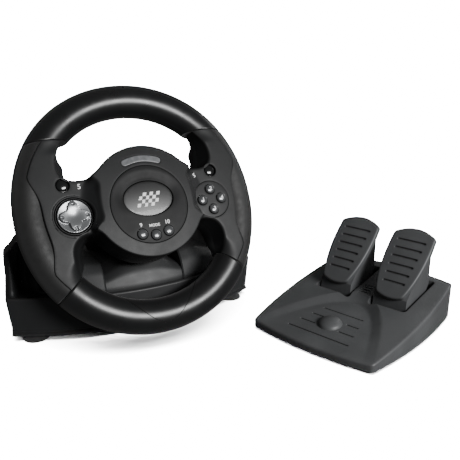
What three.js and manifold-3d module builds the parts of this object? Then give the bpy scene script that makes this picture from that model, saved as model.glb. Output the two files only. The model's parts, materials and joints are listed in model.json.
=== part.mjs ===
// Toy racing wheel with its pedal unit, for a desk and a floor.
// Millimetres, +Z up. The wheel unit faces -Y, with +X to the driver's right.
import * as THREE from 'three';
import { mergeVertices } from 'three/addons/utils/BufferGeometryUtils.js';
import Module from 'manifold-3d';

const wasm = await Module();
wasm.setup();

const { cos, sin, PI, asin, acos, abs } = Math;
const DEG = PI / 180;

// ---- Driving dimensions ----------------------------------------------------------------------

const GAP = 0.3;                 // clearance between two pieces that touch
const GRIP_GAP = 1;              // groove between a side grip and its plate
const WALL = 2.6;                // moulded wall thickness
const FINE = 32;                 // facets round a large circle
const COARSE = 16;               // facets round a small one

// Wheel, in its own frame: +X right, +Y up the wheel's face, +Z out of the face to the driver.
const WHEEL_HEIGHT = 140;        // wheel centre above the table
const WHEEL_TILT = 28 * DEG;     // lean of the wheel's face from upright
const RIM_RADIUS = 112.7;        // centre line of the rim at top and bottom
const RIM_SIDE_CUT = 5.5;        // how far the rim's sides are drawn in
const RIM_HALF_WIDTH = 17.3;
const RIM_HALF_DEPTH = 16.5;
const RIM_Z = -20;               // plane of the rim's centre line
const FACE_Z = -2;               // front of the spokes and side plates
const BACK_Z = -37;              // back of the rear shell
const SPLIT_Z = -20;             // parting plane of the two shells
const TOP_SEAM_Y = 71;           // level seam under the top grip
const LOW_SEAM = -40.7 * DEG;    // radial seam above the bottom grip
const THUMB_DIP = 13;            // how far the side grips reach in at the thumbs
const THUMB_ANGLE = -4 * DEG;
const THUMB_SPREAD = 24 * DEG;
const PLATE_RADIUS = 113.5;      // outer edge of the side plates, away from the thumbs

const HUB = { y: -1.2, radius: 56.5, faceRadius: 51.5, faceZ: 9 };
const DISC = { y: -5.4, radius: 39, backZ: 6, faceZ: 11.5 };
const BADGE = { y: 0.3, halfWidth: 26, halfHeight: 18.4, depth: 1.4 };
const LENS = { radius: 46.4, halfWidth: 3.4, halfAngle: 21.4 * DEG, depth: 3 };
const SPOKE_TOP = 29;
const SPOKE_LOW = -24.7;
const PAD = { x: 71.5, y: -6.1 };          // centres of the direction pad and the button plate
const DISH_RADIUS = 18.2;
const BUTTON_PLATE_RADIUS = 19.7;
const FACE_BUTTON_PITCH = 10.7;            // plate centre to each of its four buttons
const BUTTON_RADIUS = 5;
const CORNER_BUTTON = { x: 77, y: 25.1, radius: 6.6 };
const HUB_BUTTONS = { side: [13.4, -34.3], middle: [0, -36.7] };

const BOARD_THICKNESS = 1.6;
const WHEEL_BOARD_Z = -17;                 // underside of the board in the wheel
const SHAFT_RADIUS = 6;
const SHAFT_END_Z = -140;
const COLUMN_RADIUS = 36;
const COLUMN_FRONT_Z = -49;
const COLUMN_END_Z = -150;
const COLLAR_RADIUS = 49;
const GEAR = { module: 1, wheelTeeth: 28, pinionTeeth: 18, z: -112, width: 6 };
const GEAR_DISTANCE = GEAR.module * (GEAR.wheelTeeth + GEAR.pinionTeeth) / 2;

// Wheel base.
const BASE = { halfWidth: 138, taper: 18, frontY: -2.5, bow: 37.5, backY: 178, underZ: 6, lipZ: 48 };
// Across each shoulder: [x, height of the crease, height of the top, how far the front is set back].
const SHOULDER_STATIONS = [
  [42, 64, 73, 0], [64, 64, 74, 0], [84, 62, 68, 0], [94, 60, 70, 14], [104, 58, 84, 26], [116, 58, 94, 28],
  [122, 56, 95, 24], [127, 52, 94, 4], [131, 52, 91, 0], [134, 52, 86, 0],
];
// Across the saddle under the column: [x, height of the crease, height of the top].
const SADDLE_STATIONS = [
  [-44, 55, 58], [-35, 58, 62], [-24, 60, 69], [-10, 61, 71],
  [10, 61, 71], [24, 60, 69], [35, 58, 62], [44, 55, 58],
];
const CUPS = { radius: 13, frontX: 112, frontY: 36, rearX: 100, rearY: 156 };
const BASE_BOARD = { fromX: 20, toX: 90, fromY: 120, toY: 165, z: 16 };

// Pedal unit, in its own frame: origin on the floor under its middle, +Y from heel to toe.
const PEDALS = { x: 199, y: -87, turn: -70 * DEG };
const TRAY = { halfWidth: 78, halfDepth: 90, bow: 7, underZ: 3, heelZ: 10, toeZ: 42 };
const PLATE_THICKNESS = 2.4;        // floor of the pedal unit
const PEDAL_X = 33;                 // each pedal's middle either side of the centre line
const PIVOT = { y: 20, z: 18, radius: 2.5 };
const PEDAL_PAD = { length: 84, halfWidth: 24.5, thickness: 6, slope: 48 * DEG, heelY: 13, heelZ: 34 };
const ARM_HALF_WIDTH = 19;
const SLOT = { halfWidth: 22, fromY: 6, toY: 76 };
const FOOT = { radius: 9, x: 58, y: 70 };

// ---- Solids -----------------------------------------------------------------------------------

function closed(geometry) {
  // Leaves only merged positions, with every face pointing out.
  geometry.deleteAttribute('normal');
  geometry.deleteAttribute('uv');
  const merged = mergeVertices(geometry, 1e-4);
  const p = merged.attributes.position;
  const index = [];
  for (let i = 0; i < merged.index.count; i += 3) {
    const corners = [0, 1, 2].map((k) => merged.index.getX(i + k));
    if (new Set(corners).size === 3) index.push(...corners);
  }
  const [a, b, c] = [0, 1, 2].map(() => new THREE.Vector3());
  let volume = 0;
  for (let i = 0; i < index.length; i += 3) {
    a.fromBufferAttribute(p, index[i]);
    b.fromBufferAttribute(p, index[i + 1]);
    c.fromBufferAttribute(p, index[i + 2]);
    volume += a.dot(b.cross(c));
  }
  if (volume < 0) {
    for (let i = 0; i < index.length; i += 3) {
      [index[i], index[i + 1]] = [index[i + 1], index[i]];
    }
  }
  merged.setIndex(index);
  return merged;
}

function toSolid(geometry) {
  const merged = closed(geometry);
  const vertProperties = new Float32Array(merged.attributes.position.array);
  const triVerts = new Uint32Array(merged.index.array);
  return new wasm.Manifold(new wasm.Mesh({ numProp: 3, vertProperties, triVerts }));
}

function toGeometry(solid) {
  const mesh = solid.getMesh();
  const geometry = new THREE.BufferGeometry();
  geometry.setAttribute('position', new THREE.BufferAttribute(mesh.vertProperties, 3));
  geometry.setIndex(new THREE.BufferAttribute(mesh.triVerts, 1));
  return geometry;
}

function carve(base, { add = [], cut = [] }) {
  let solid = toSolid(base);
  for (const geometry of add) solid = solid.add(toSolid(geometry));
  for (const geometry of cut) solid = solid.subtract(toSolid(geometry));
  return toGeometry(solid);
}

function extrude(shape, fromZ, toZ, curveSegments = 8) {
  const options = { depth: toZ - fromZ, bevelEnabled: false, curveSegments };
  return new THREE.ExtrudeGeometry(shape, options).translate(0, 0, fromZ);
}

function lathe(profile, segments = COARSE, x = 0, y = 0) {
  // Turns a [radius, z] profile about a vertical axis through (x, y). It closes on itself or on the axis.
  const solid = profile[0][0] === 0;
  const points = (solid ? profile : [...profile, profile[0]]).map((corner) => new THREE.Vector2(...corner));
  return new THREE.LatheGeometry(points, segments).rotateX(PI / 2).translate(x, y, 0);
}

function rod(radius, fromZ, toZ, x = 0, y = 0, segments = COARSE) {
  return lathe([[0, fromZ], [radius, fromZ], [radius, toZ], [0, toZ]], segments, x, y);
}

function tube(inner, outer, fromZ, toZ, x = 0, y = 0, segments = COARSE) {
  return lathe([[inner, fromZ], [outer, fromZ], [outer, toZ], [inner, toZ]], segments, x, y);
}

function box(fromX, toX, fromY, toY, fromZ, toZ) {
  const geometry = new THREE.BoxGeometry(toX - fromX, toY - fromY, toZ - fromZ);
  return geometry.translate((fromX + toX) / 2, (fromY + toY) / 2, (fromZ + toZ) / 2);
}

function loft(rings) {
  // Skins a row of rings that have the same number of points, and caps both ends from their middles.
  const count = rings[0].length;
  const positions = rings.flat().flatMap((point) => point.toArray());
  const index = [];
  for (let ring = 0; ring + 1 < rings.length; ring += 1) {
    for (let i = 0; i < count; i += 1) {
      const j = (i + 1) % count;
      const [a, b] = [ring * count + i, ring * count + j];
      index.push(a, b, b + count, a, b + count, a + count);
    }
  }
  for (const end of [0, rings.length - 1]) {
    const middle = new THREE.Vector3();
    rings[end].forEach((point) => middle.addScaledVector(point, 1 / count));
    const hub = positions.length / 3;
    positions.push(...middle.toArray());
    for (let i = 0; i < count; i += 1) {
      const [a, b] = [end * count + i, end * count + (i + 1) % count];
      index.push(...(end === 0 ? [hub, b, a] : [hub, a, b]));
    }
  }
  const geometry = new THREE.BufferGeometry();
  geometry.setAttribute('position', new THREE.Float32BufferAttribute(positions, 3));
  geometry.setIndex(index);
  return geometry;
}

// ---- Materials --------------------------------------------------------------------------------

const paint = (color, roughness, metalness = 0) => (
  new THREE.MeshStandardMaterial({ color, roughness, metalness })
);

const SATIN = paint(0x1b1c1e, 0.45);
const SOFT = paint(0x151617, 0.6);
const GLOSS = paint(0x0c0c0d, 0.18);
const RUBBER = paint(0x101011, 0.85);
const STEEL = paint(0xb4b6b8, 0.35, 1);
const LENS_GREY = paint(0x7d8185, 0.3);
const BOARD = paint(0x1d5a33, 0.55);
const NYLON = paint(0xd8d5c8, 0.5);

const part = (name, geometry, material) => {
  const mesh = new THREE.Mesh(closed(geometry.clone()), material);
  mesh.name = name;
  return mesh;
};

// ---- Rim and grips ----------------------------------------------------------------------------

const rimRadius = (angle) => RIM_RADIUS - RIM_SIDE_CUT * cos(angle) ** 4;

function plateEdge(angle) {
  // Outer edge of the flat side plate on the right, dipping where the thumb rests.
  const across = (angle - THUMB_ANGLE) / THUMB_SPREAD;
  const dip = abs(across) < 1 ? (1 - across ** 4) ** 2 : 0;
  return PLATE_RADIUS - THUMB_DIP * dip;
}

const polar = (radius, angle, z) => new THREE.Vector3(radius * cos(angle), radius * sin(angle), z);

function seamAngle(seamY, radiusAt) {
  // Angle at which a line of the rim, radiusAt(angle) from the centre, crosses a level seam.
  let angle = 40 * DEG;
  for (let step = 0; step < 8; step += 1) angle = asin(seamY / radiusAt(angle));
  return angle;
}

function ringGrip(isTop) {
  const around = 16;
  const along = 20;
  const rings = [];
  for (let step = 0; step <= along; step += 1) {
    const ring = [];
    for (let i = 0; i < around; i += 1) {
      const b = (2 * PI * i) / around;
      const radiusAt = (angle) => rimRadius(angle) + RIM_HALF_WIDTH * cos(b);
      const start = isTop ? seamAngle(TOP_SEAM_Y + GAP, radiusAt) : LOW_SEAM - GAP / RIM_RADIUS;
      const end = isTop ? PI - start : -PI - start;
      const angle = start + ((end - start) * step) / along;
      ring.push(polar(radiusAt(angle), angle, RIM_Z + RIM_HALF_DEPTH * sin(b)));
    }
    rings.push(ring);
  }
  return loft(rings);
}

function sideGrip(side) {
  // The rim outside the side plate: a D section from the plate's edge round to the back.
  const around = 8;
  const along = 16;
  const rings = [];
  for (let step = 0; step <= along; step += 1) {
    const ring = [];
    for (let i = 0; i <= around; i += 1) {
      const turn = (angle) => {
        // The section stops where it meets the plate's edge, so its reach changes along the rim.
        const reach = acos((plateEdge(angle) + GRIP_GAP - rimRadius(angle)) / RIM_HALF_WIDTH);
        return reach * (2 * i / around - 1);
      };
      const radiusAt = (angle) => rimRadius(angle) + RIM_HALF_WIDTH * cos(turn(angle));
      const start = LOW_SEAM + GAP / RIM_RADIUS;
      const end = seamAngle(TOP_SEAM_Y - GAP, radiusAt);
      const angle = start + ((end - start) * step) / along;
      const point = polar(radiusAt(angle), angle, RIM_Z + RIM_HALF_DEPTH * sin(turn(angle)));
      ring.push(point.multiply(new THREE.Vector3(side, 1, 1)));
    }
    rings.push(ring);
  }
  return loft(rings);
}

// ---- Wheel shells -----------------------------------------------------------------------------

function halfPlan(inset) {
  // Right half of the outline of hub, spoke and side plate, from six o'clock to twelve o'clock.
  const hub = HUB.radius - inset;
  const top = SPOKE_TOP - inset;
  const low = SPOKE_LOW + inset;
  const points = [];
  const arc = (x, y, radius, from, to, steps) => {
    for (let i = 0; i <= steps; i += 1) {
      const angle = from + ((to - from) * i) / steps;
      points.push([x + radius * cos(angle), y + radius * sin(angle)]);
    }
  };
  const curve = (from, control, to, steps) => {
    for (let i = 1; i < steps; i += 1) {
      const t = i / steps;
      const mix = (k) => (1 - t) ** 2 * from[k] + 2 * t * (1 - t) * control[k] + t ** 2 * to[k];
      points.push([mix(0), mix(1)]);
    }
  };
  arc(0, HUB.y, hub, -PI / 2, asin((low - HUB.y) / hub), 6);
  const lowCorner = { x: 60, y: SPOKE_LOW - 17.3, radius: 17.3 + inset };
  arc(lowCorner.x, lowCorner.y, lowCorner.radius, PI / 2, -0.1, 5);
  const lowSeam = LOW_SEAM + (inset + 0.01) / RIM_RADIUS;
  const innerLow = 96 + inset;
  const lowEnd = [innerLow * cos(lowSeam), innerLow * sin(lowSeam)];
  curve(points.at(-1), [77.5 + inset, -54], lowEnd, 3);
  points.push(lowEnd);
  const topSeam = TOP_SEAM_Y - inset;
  const outerTop = asin(topSeam / (PLATE_RADIUS - inset));
  for (let i = 0; i <= 16; i += 1) {
    const angle = lowSeam + ((outerTop - lowSeam) * i) / 16;
    const edge = plateEdge(angle) - inset;
    points.push([edge * cos(angle), edge * sin(angle)]);
  }
  const topCorner = { x: 66, y: SPOKE_TOP + 14, radius: 14 + inset };
  const innerTop = [69 + inset, topSeam];
  points.push(innerTop);
  curve(innerTop, [79.5 + inset, 58], [topCorner.x + topCorner.radius, topCorner.y], 4);
  arc(topCorner.x, topCorner.y, topCorner.radius, 0, -PI / 2, 5);
  arc(0, HUB.y, hub, asin((top - HUB.y) / hub), PI / 2, 6);
  return points;
}

function wheelPlan(inset) {
  const right = halfPlan(inset);
  const left = right.slice(1, -1).reverse().map(([x, y]) => [-x, y]);
  return new THREE.Shape([...right, ...left].map(([x, y]) => new THREE.Vector2(x, y)));
}

function lensShape(grow) {
  // A bar bent round the disc, with round ends.
  const shape = new THREE.Shape();
  const { radius, halfWidth, halfAngle } = LENS;
  const half = halfWidth + grow;
  const [from, to] = [PI / 2 - halfAngle, PI / 2 + halfAngle];
  shape.absarc(0, 0, radius + half, from, to, false);
  shape.absarc(radius * cos(to), radius * sin(to), half, to, to + PI, false);
  shape.absarc(0, 0, radius - half, to, from, true);
  shape.absarc(radius * cos(from), radius * sin(from), half, from + PI, from + 2 * PI, false);
  return shape;
}

const ellipse = (halfWidth, halfHeight) => {
  const shape = new THREE.Shape();
  shape.absellipse(0, 0, halfWidth, halfHeight, 0, 2 * PI, false, 0);
  return shape;
};

function frontShell() {
  const skin = FACE_Z - WALL;
  const ledge = DISC.radius - 0.8;
  const hubDrum = [
    [0, SPLIT_Z], [HUB.radius, SPLIT_Z], [HUB.radius, FACE_Z], [HUB.faceRadius, HUB.faceZ], [0, HUB.faceZ],
  ];
  return carve(extrude(wheelPlan(0), SPLIT_Z, FACE_Z), {
    add: [lathe(hubDrum, FINE, 0, HUB.y)],
    cut: [
      extrude(wheelPlan(WALL), SPLIT_Z - 1, skin),
      rod(HUB.radius - WALL, SPLIT_Z - 1, skin, 0, HUB.y, FINE),
      rod(DISC.radius + GAP, DISC.backZ - GAP, 20, 0, DISC.y, FINE),
      rod(ledge, SPLIT_Z - 1, 20, 0, DISC.y, FINE),
      extrude(lensShape(GAP), HUB.faceZ - LENS.depth - GAP, 20).translate(0, DISC.y, 0),
      rod(DISH_RADIUS, SPLIT_Z - 1, 20, -PAD.x, PAD.y, FINE),
      rod(BUTTON_PLATE_RADIUS, SPLIT_Z - 1, 20, PAD.x, PAD.y, FINE),
      rod(CORNER_BUTTON.radius, SPLIT_Z - 1, 20, -CORNER_BUTTON.x, CORNER_BUTTON.y),
      rod(CORNER_BUTTON.radius, SPLIT_Z - 1, 20, CORNER_BUTTON.x, CORNER_BUTTON.y),
    ],
  });
}

function rearShell() {
  // Carries a pair of drilled lugs for each paddle's hinge, and four posts for the circuit board.
  const top = SPLIT_Z - GAP;
  const { x, z, lugY } = PADDLE_HINGE;
  const sides = [-1, 1];
  const lugs = sides.flatMap((side) => sides.map((end) => (
    box(side * x - 3, side * x + 3, end * (lugY + 1.5) - 1.5, end * (lugY + 1.5) + 1.5, z - 2.5, BACK_Z + 1)
  )));
  const pinHoles = sides.map((side) => hingeRod(1.2 + GAP, lugY + 5).translate(side * x, 0, 0));
  const posts = sides.flatMap((side) => [32, 84].map((postX) => (
    rod(2.5, BACK_Z + 1, WHEEL_BOARD_Z - GAP, side * postX, -5, 12)
  )));
  const hollow = carve(extrude(wheelPlan(WALL), BACK_Z + WALL, top + 1), { cut: posts });
  return carve(extrude(wheelPlan(0), BACK_Z, top), {
    add: [...lugs, ...posts],
    cut: [hollow, rod(SHAFT_RADIUS + 1, BACK_Z - 1, top), ...pinHoles],
  });
}

// ---- Hub face and controls --------------------------------------------------------------------

function hubDisc() {
  const { y, radius, backZ, faceZ } = DISC;
  const dome = [
    [0, backZ], [radius, backZ], [radius, faceZ - 2.2], [radius - 2, faceZ - 1.2], [20, faceZ], [0, faceZ],
  ];
  const [sideX, sideY] = HUB_BUTTONS.side;
  const hole = (x, holeY) => rod(BUTTON_RADIUS + GAP, backZ - 1, 20, x, holeY);
  const recess = ellipse(BADGE.halfWidth + GAP, BADGE.halfHeight + GAP);
  return carve(lathe(dome, FINE, 0, y), {
    cut: [
      hole(-sideX, sideY),
      hole(sideX, sideY),
      hole(...HUB_BUTTONS.middle),
      extrude(recess, faceZ - BADGE.depth, 20, 16).translate(0, BADGE.y, 0),
    ],
  });
}

const hubBadge = () => extrude(
  ellipse(BADGE.halfWidth, BADGE.halfHeight), DISC.faceZ - BADGE.depth + GAP, DISC.faceZ - 0.2, 16,
).translate(0, BADGE.y, 0);

const lightLens = () => extrude(
  lensShape(0), HUB.faceZ - LENS.depth, HUB.faceZ + 0.4,
).translate(0, DISC.y, 0);

function dpadDish() {
  // A round cup with a flat floor, its post hole in the middle.
  const outer = DISH_RADIUS - GAP;
  const profile = [
    [6, -12], [outer, -12], [outer, FACE_Z + 1], [outer - 1.6, FACE_Z + 1], [outer - 2.4, -9.5], [6, -9.5],
  ];
  return lathe(profile, FINE, -PAD.x, PAD.y);
}

function crossShape(reach, halfArm, corner) {
  // Four-armed cross with rounded inner corners and bowed ends.
  const shape = new THREE.Shape();
  for (let arm = 0; arm < 4; arm += 1) {
    const turn = (x, y) => [
      x * cos(arm * PI / 2) - y * sin(arm * PI / 2), x * sin(arm * PI / 2) + y * cos(arm * PI / 2),
    ];
    const [startX, startY] = turn(halfArm + corner, -halfArm);
    if (arm === 0) shape.moveTo(startX, startY);
    shape.lineTo(...turn(reach - 1.5, -halfArm));
    shape.quadraticCurveTo(...turn(reach + 1.5, 0), ...turn(reach - 1.5, halfArm));
    shape.lineTo(...turn(halfArm + corner, halfArm));
    shape.quadraticCurveTo(...turn(halfArm, halfArm), ...turn(halfArm, halfArm + corner));
  }
  return shape;
}

// The direction pad rocks on a small two-way pivot below its cap.
const dpadPivot = () => lathe([
  [0, -11], [2.6, -11], [3.4, -9], [2.6, -7.4], [0, -7.4],
], COARSE, -PAD.x, PAD.y);

function dpadCap() {
  // A round rocker with a four-armed cross raised on it.
  const rocker = lathe([[0, -4.4], [15, -4.4], [15, -2.2], [0, -1.8]], FINE);
  const cross = extrude(crossShape(13.4, 5.6, 2.4), -3.2, 1.2, 4);
  return carve(rocker, { add: [cross, rod(5, -6.9, -4, 0, 0, 16)] }).translate(-PAD.x, PAD.y, 0);
}

function buttonPlate() {
  const profile = [
    [0, -6], [BUTTON_PLATE_RADIUS - GAP, -6], [BUTTON_PLATE_RADIUS - GAP, FACE_Z + 0.6],
    [BUTTON_PLATE_RADIUS - 2, FACE_Z + 1.2], [0, FACE_Z + 1.2],
  ];
  const holes = faceButtonCentres().map(([x, y]) => rod(BUTTON_RADIUS + GAP, -7, 5, x, y));
  return carve(lathe(profile, FINE, PAD.x, PAD.y), { cut: holes });
}

const faceButtonCentres = () => [[0, 1], [1, 0], [0, -1], [-1, 0]]
  .map(([x, y]) => [PAD.x + x * FACE_BUTTON_PITCH, PAD.y + y * FACE_BUTTON_PITCH]);

function button(x, y, radius, topZ, flangeZ) {
  // Domed cap with a flange that keeps it behind its plate.
  const profile = [
    [0, flangeZ - 1], [radius + 0.6, flangeZ - 1], [radius + 0.6, flangeZ], [radius, flangeZ],
    [radius, topZ - 1.4], [radius * 0.72, topZ - 0.4], [0, topZ],
  ];
  return lathe(profile, COARSE, x, y);
}

const cornerButton = (side) => button(
  side * CORNER_BUTTON.x, CORNER_BUTTON.y, CORNER_BUTTON.radius - 1, FACE_Z + 0.4, FACE_Z - WALL - GAP,
);

const hubButton = (x, y) => button(x, y, BUTTON_RADIUS, DISC.faceZ + 0.9, DISC.backZ - GAP);

// The paddles hinge on an upright line behind the hub's edge.
const PADDLE_HINGE = { x: 40, z: -42.5, lugY: 14.5 };

const hingeRod = (radius, halfLength) => rod(radius, -halfLength, halfLength, 0, 0, 12)
  .rotateX(-PI / 2).translate(0, 0, PADDLE_HINGE.z);

function paddle(side) {
  // Flat shift lever behind the spoke, with a hinge knuckle and its pin at the inner end.
  const { x, z, lugY } = PADDLE_HINGE;
  const outline = new THREE.Shape();
  const end = lugY - GAP;
  outline.moveTo(x, -end);
  outline.lineTo(x + 4, -end);
  outline.quadraticCurveTo(56, -20, 70, -19);
  outline.quadraticCurveTo(77, 1, 70, 21);
  outline.quadraticCurveTo(56, 21, x + 4, end);
  outline.lineTo(x, end);
  return carve(extrude(outline, z - 2.3, z + 0.2, 5), {
    add: [
      hingeRod(2.4, lugY - GAP).translate(x, 0, 0),
      hingeRod(1.2, lugY + 2.5).translate(x, 0, 0),
    ],
  }).scale(side, 1, 1);
}

function wheelBoard() {
  const top = WHEEL_BOARD_Z + BOARD_THICKNESS;
  const disc = rod(40, WHEEL_BOARD_Z, top, 0, HUB.y, FINE);
  const screwHole = rod(9, WHEEL_BOARD_Z - 1, top + 1);
  return carve(box(-92, 92, -18, 8, WHEEL_BOARD_Z, top), { add: [disc], cut: [screwHole] });
}

// ---- Steering shaft and gears -----------------------------------------------------------------

function steeringShaft() {
  // Flanged at the wheel end, with a blind hole for its screw.
  const flange = 20;
  const flangeFront = BACK_Z + WALL + 4;
  const profile = [
    [0, SHAFT_END_Z], [SHAFT_RADIUS, SHAFT_END_Z], [SHAFT_RADIUS, BACK_Z + WALL + GAP],
    [flange, BACK_Z + WALL + GAP], [flange, flangeFront], [SHAFT_RADIUS, flangeFront],
    [SHAFT_RADIUS, flangeFront + 4], [2.2, flangeFront + 4], [2.2, flangeFront - 14], [0, flangeFront - 14],
  ];
  return lathe(profile, COARSE);
}

function shaftScrew() {
  const seat = BACK_Z + WALL + 8 + GAP;
  const profile = [
    [0, seat - 14], [1.8, seat - 14], [1.8, seat], [4.6, seat],
    [4.6, seat + 1.8], [3.4, seat + 2.8], [0, seat + 2.8],
  ];
  return lathe(profile, COARSE);
}

function gearShape(teeth, boreRadius, phase) {
  // Straight-flanked teeth, thinned for backlash.
  const pitchRadius = GEAR.module * teeth / 2;
  const [root, tip] = [pitchRadius - 1.25 * GEAR.module, pitchRadius + 0.8 * GEAR.module];
  const pitchAngle = (2 * PI) / teeth;
  const points = [];
  for (let tooth = 0; tooth < teeth; tooth += 1) {
    const middle = phase + tooth * pitchAngle;
    for (const [radius, half] of [[root, -0.31], [tip, -0.11], [tip, 0.11], [root, 0.31]]) {
      const angle = middle + half * pitchAngle;
      points.push(new THREE.Vector2(radius * cos(angle), radius * sin(angle)));
    }
  }
  const shape = new THREE.Shape(points);
  if (boreRadius > 0) {
    const bore = new THREE.Path();
    bore.absarc(0, 0, boreRadius, 0, 2 * PI, true);
    shape.holes.push(bore);
  }
  return shape;
}

// The pinion sits above the shaft, so a tooth of the gear and a gap of the pinion meet at PI / 2.
const steeringGear = () => extrude(
  gearShape(GEAR.wheelTeeth, SHAFT_RADIUS + GAP, PI / 2), GEAR.z, GEAR.z + GEAR.width, 6,
);

function sensorPinion() {
  const phase = -PI / 2 + PI / GEAR.pinionTeeth;
  const teeth = extrude(gearShape(GEAR.pinionTeeth, 0, phase), GEAR.z, GEAR.z + GEAR.width);
  return carve(teeth, { add: [rod(2.5, GEAR.z - 14, GEAR.z + 1, 0, 0, 16)] }).translate(0, GEAR_DISTANCE, 0);
}

const steeringSensor = () => tube(2.5 + GAP, 7.6, GEAR.z - 9, GEAR.z - 1, 0, GEAR_DISTANCE);

function bearingCarrier() {
  // A bulkhead across the column: the shaft's rear bearing and the sensor's seat.
  const [front, back] = [GEAR.z - 9 - GAP, GEAR.z - 14];
  return carve(rod(COLUMN_RADIUS - WALL - GAP, back, front, 0, 0, FINE), {
    add: [rod(11, SHAFT_END_Z + 4, front)],
    cut: [rod(SHAFT_RADIUS + GAP, SHAFT_END_Z, 0), rod(2.5 + GAP, back - 1, front + 1, 0, GEAR_DISTANCE, 16)],
  });
}

const frontBush = () => lathe([
  [SHAFT_RADIUS + GAP, -72], [11, -72], [11, -56], [20, -56], [20, -53], [SHAFT_RADIUS + GAP, -53],
], COARSE);

function columnCollar() {
  // A bell-shaped shroud over the front of the column, close behind the wheel.
  const [front, seat, back] = [COLUMN_FRONT_Z + 2, COLUMN_FRONT_Z - 2, COLUMN_FRONT_Z - 14];
  const bore = COLUMN_RADIUS + GAP;
  const lip = COLLAR_RADIUS - 1;
  return lathe([
    [22, seat], [bore, seat], [bore, back], [COLUMN_RADIUS + 2, back], [lip - 4, back + 6],
    [lip, seat - 1], [COLLAR_RADIUS, COLUMN_FRONT_Z], [lip, front], [22, front],
  ], FINE);
}

const centringSpring = () => tube(12, 14.5, -102, -76);

// ---- Wheel base -------------------------------------------------------------------------------

const atWheel = (geometry) => geometry.rotateX(PI / 2 - WHEEL_TILT).translate(0, 0, WHEEL_HEIGHT);

const baseFront = (x) => BASE.frontY + BASE.bow * (x / BASE.halfWidth) ** 2;

// How far the side has come in at y, as a share of the whole taper from the front corners to the back.
const taperShare = (y) => Math.max(0, y - baseFront(BASE.halfWidth))
  / (BASE.backY - baseFront(BASE.halfWidth));

function basePlan(inset) {
  // Bowed front, straight sides that taper towards the back, rounded rear corners.
  const side = BASE.halfWidth - inset;
  const back = BASE.backY - inset;
  const sideAt = (y) => side - BASE.taper * taperShare(y);
  const corner = 22 - inset / 2;
  const shape = new THREE.Shape();
  const steps = 14;
  for (let i = 0; i <= steps; i += 1) {
    const x = -side + (2 * side * i) / steps;
    const y = baseFront(x) + inset;
    if (i === 0) shape.moveTo(x, y);
    else shape.lineTo(x, y);
  }
  shape.lineTo(sideAt(back - 30), back - 30);
  shape.quadraticCurveTo(sideAt(back) - 1, back, sideAt(back) - 1 - corner, back);
  shape.lineTo(-sideAt(back) + 1 + corner, back);
  shape.quadraticCurveTo(-sideAt(back) + 1, back, -sideAt(back - 30), back - 30);
  return shape;
}

// Section of the raised body at x: front slope, crease, bevel, and a top that falls to the back.
function bodySection(x, creaseZ, topZ, setBack, inset, backGap = 8) {
  const front = baseFront(x) + 9 + setBack + inset;
  const slope = (creaseZ - BASE.lipZ) * 0.45;
  const back = BASE.backY - backGap - inset;
  const low = BASE.lipZ - 12 - inset;
  return [
    [front, low], [front, BASE.lipZ - inset], [front + slope, creaseZ - inset],
    [front + slope + 9, topZ - inset], [front + slope + 34, topZ - inset],
    [back - 6, BASE.lipZ + 6 - inset], [back, low],
  ];
}

function shoulder(side, inset) {
  const [firstX, lastX] = [SHOULDER_STATIONS[0][0], SHOULDER_STATIONS.at(-1)[0]];
  const rings = SHOULDER_STATIONS.map(([x, creaseZ, topZ, setBack]) => {
    const acrossX = x === firstX ? x + inset : x === lastX ? x - inset : x;
    const share = (acrossX - firstX) / (lastX - firstX);
    return bodySection(x, creaseZ, topZ, setBack, inset).map(([y, z]) => (
      new THREE.Vector3(side * (acrossX - BASE.taper * share * taperShare(y)), y, z)
    ));
  });
  return loft(rings);
}

function saddle(inset) {
  // Low hump between the shoulders that carries the column.
  const last = SADDLE_STATIONS.length - 1;
  const rings = SADDLE_STATIONS.map(([x, creaseZ, topZ], i) => {
    const acrossX = i === 0 ? x + inset : i === last ? x - inset : x;
    return bodySection(x, creaseZ, topZ, 2, inset, 14).map(([y, z]) => new THREE.Vector3(acrossX, y, z));
  });
  return loft(rings);
}

function baseUpperShell() {
  const columnInside = COLUMN_RADIUS - WALL;
  return carve(extrude(basePlan(0), BASE.underZ, BASE.lipZ, 6), {
    add: [
      shoulder(1, 0), shoulder(-1, 0), saddle(0),
      atWheel(rod(COLUMN_RADIUS, COLUMN_END_Z, COLUMN_FRONT_Z - 2 - GAP, 0, 0, FINE)),
    ],
    cut: [
      extrude(basePlan(WALL), BASE.underZ - 1, BASE.lipZ - WALL, 6),
      shoulder(1, WALL), shoulder(-1, WALL), saddle(WALL),
      atWheel(rod(columnInside, COLUMN_END_Z + WALL, COLUMN_FRONT_Z + 1, 0, 0, FINE)),
      box(-7, 7, BASE.backY - 10, BASE.backY + 5, 20, 28),
      box(28, 44, BASE.backY - 10, BASE.backY + 5, 18, 30),
    ],
  });
}

function baseLowerCover() {
  // Floor of the base, with a hole for each cup's stem and four posts for the circuit board.
  const top = BASE.underZ + WALL;
  const { frontX, frontY, rearX, rearY } = CUPS;
  const stems = [-1, 1].flatMap((side) => [[side * frontX, frontY], [side * rearX, rearY]]);
  const { fromX, toX, fromY, toY, z } = BASE_BOARD;
  const posts = [fromX + 5, toX - 5].flatMap((x) => (
    [fromY + 5, toY - 5].map((y) => rod(2.5, top - 1, z - GAP, x, y, 12))
  ));
  return carve(extrude(basePlan(WALL + GAP), BASE.underZ, top, 6), {
    add: posts,
    cut: stems.map(([x, y]) => rod(4 + GAP, 0, 20, x, y)),
  });
}

function suctionCup(x, y) {
  // Hollow rubber cup on a stem that is pushed through the lower cover.
  const profile = [
    [0, 1.6], [10, 1.2], [10.4, 0], [CUPS.radius, 0], [CUPS.radius, 0.8], [5, 4.4], [5, BASE.underZ - GAP],
    [4, BASE.underZ - GAP], [4, BASE.underZ + WALL + 2], [0, BASE.underZ + WALL + 2],
  ];
  return lathe(profile, COARSE, x, y);
}

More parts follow.
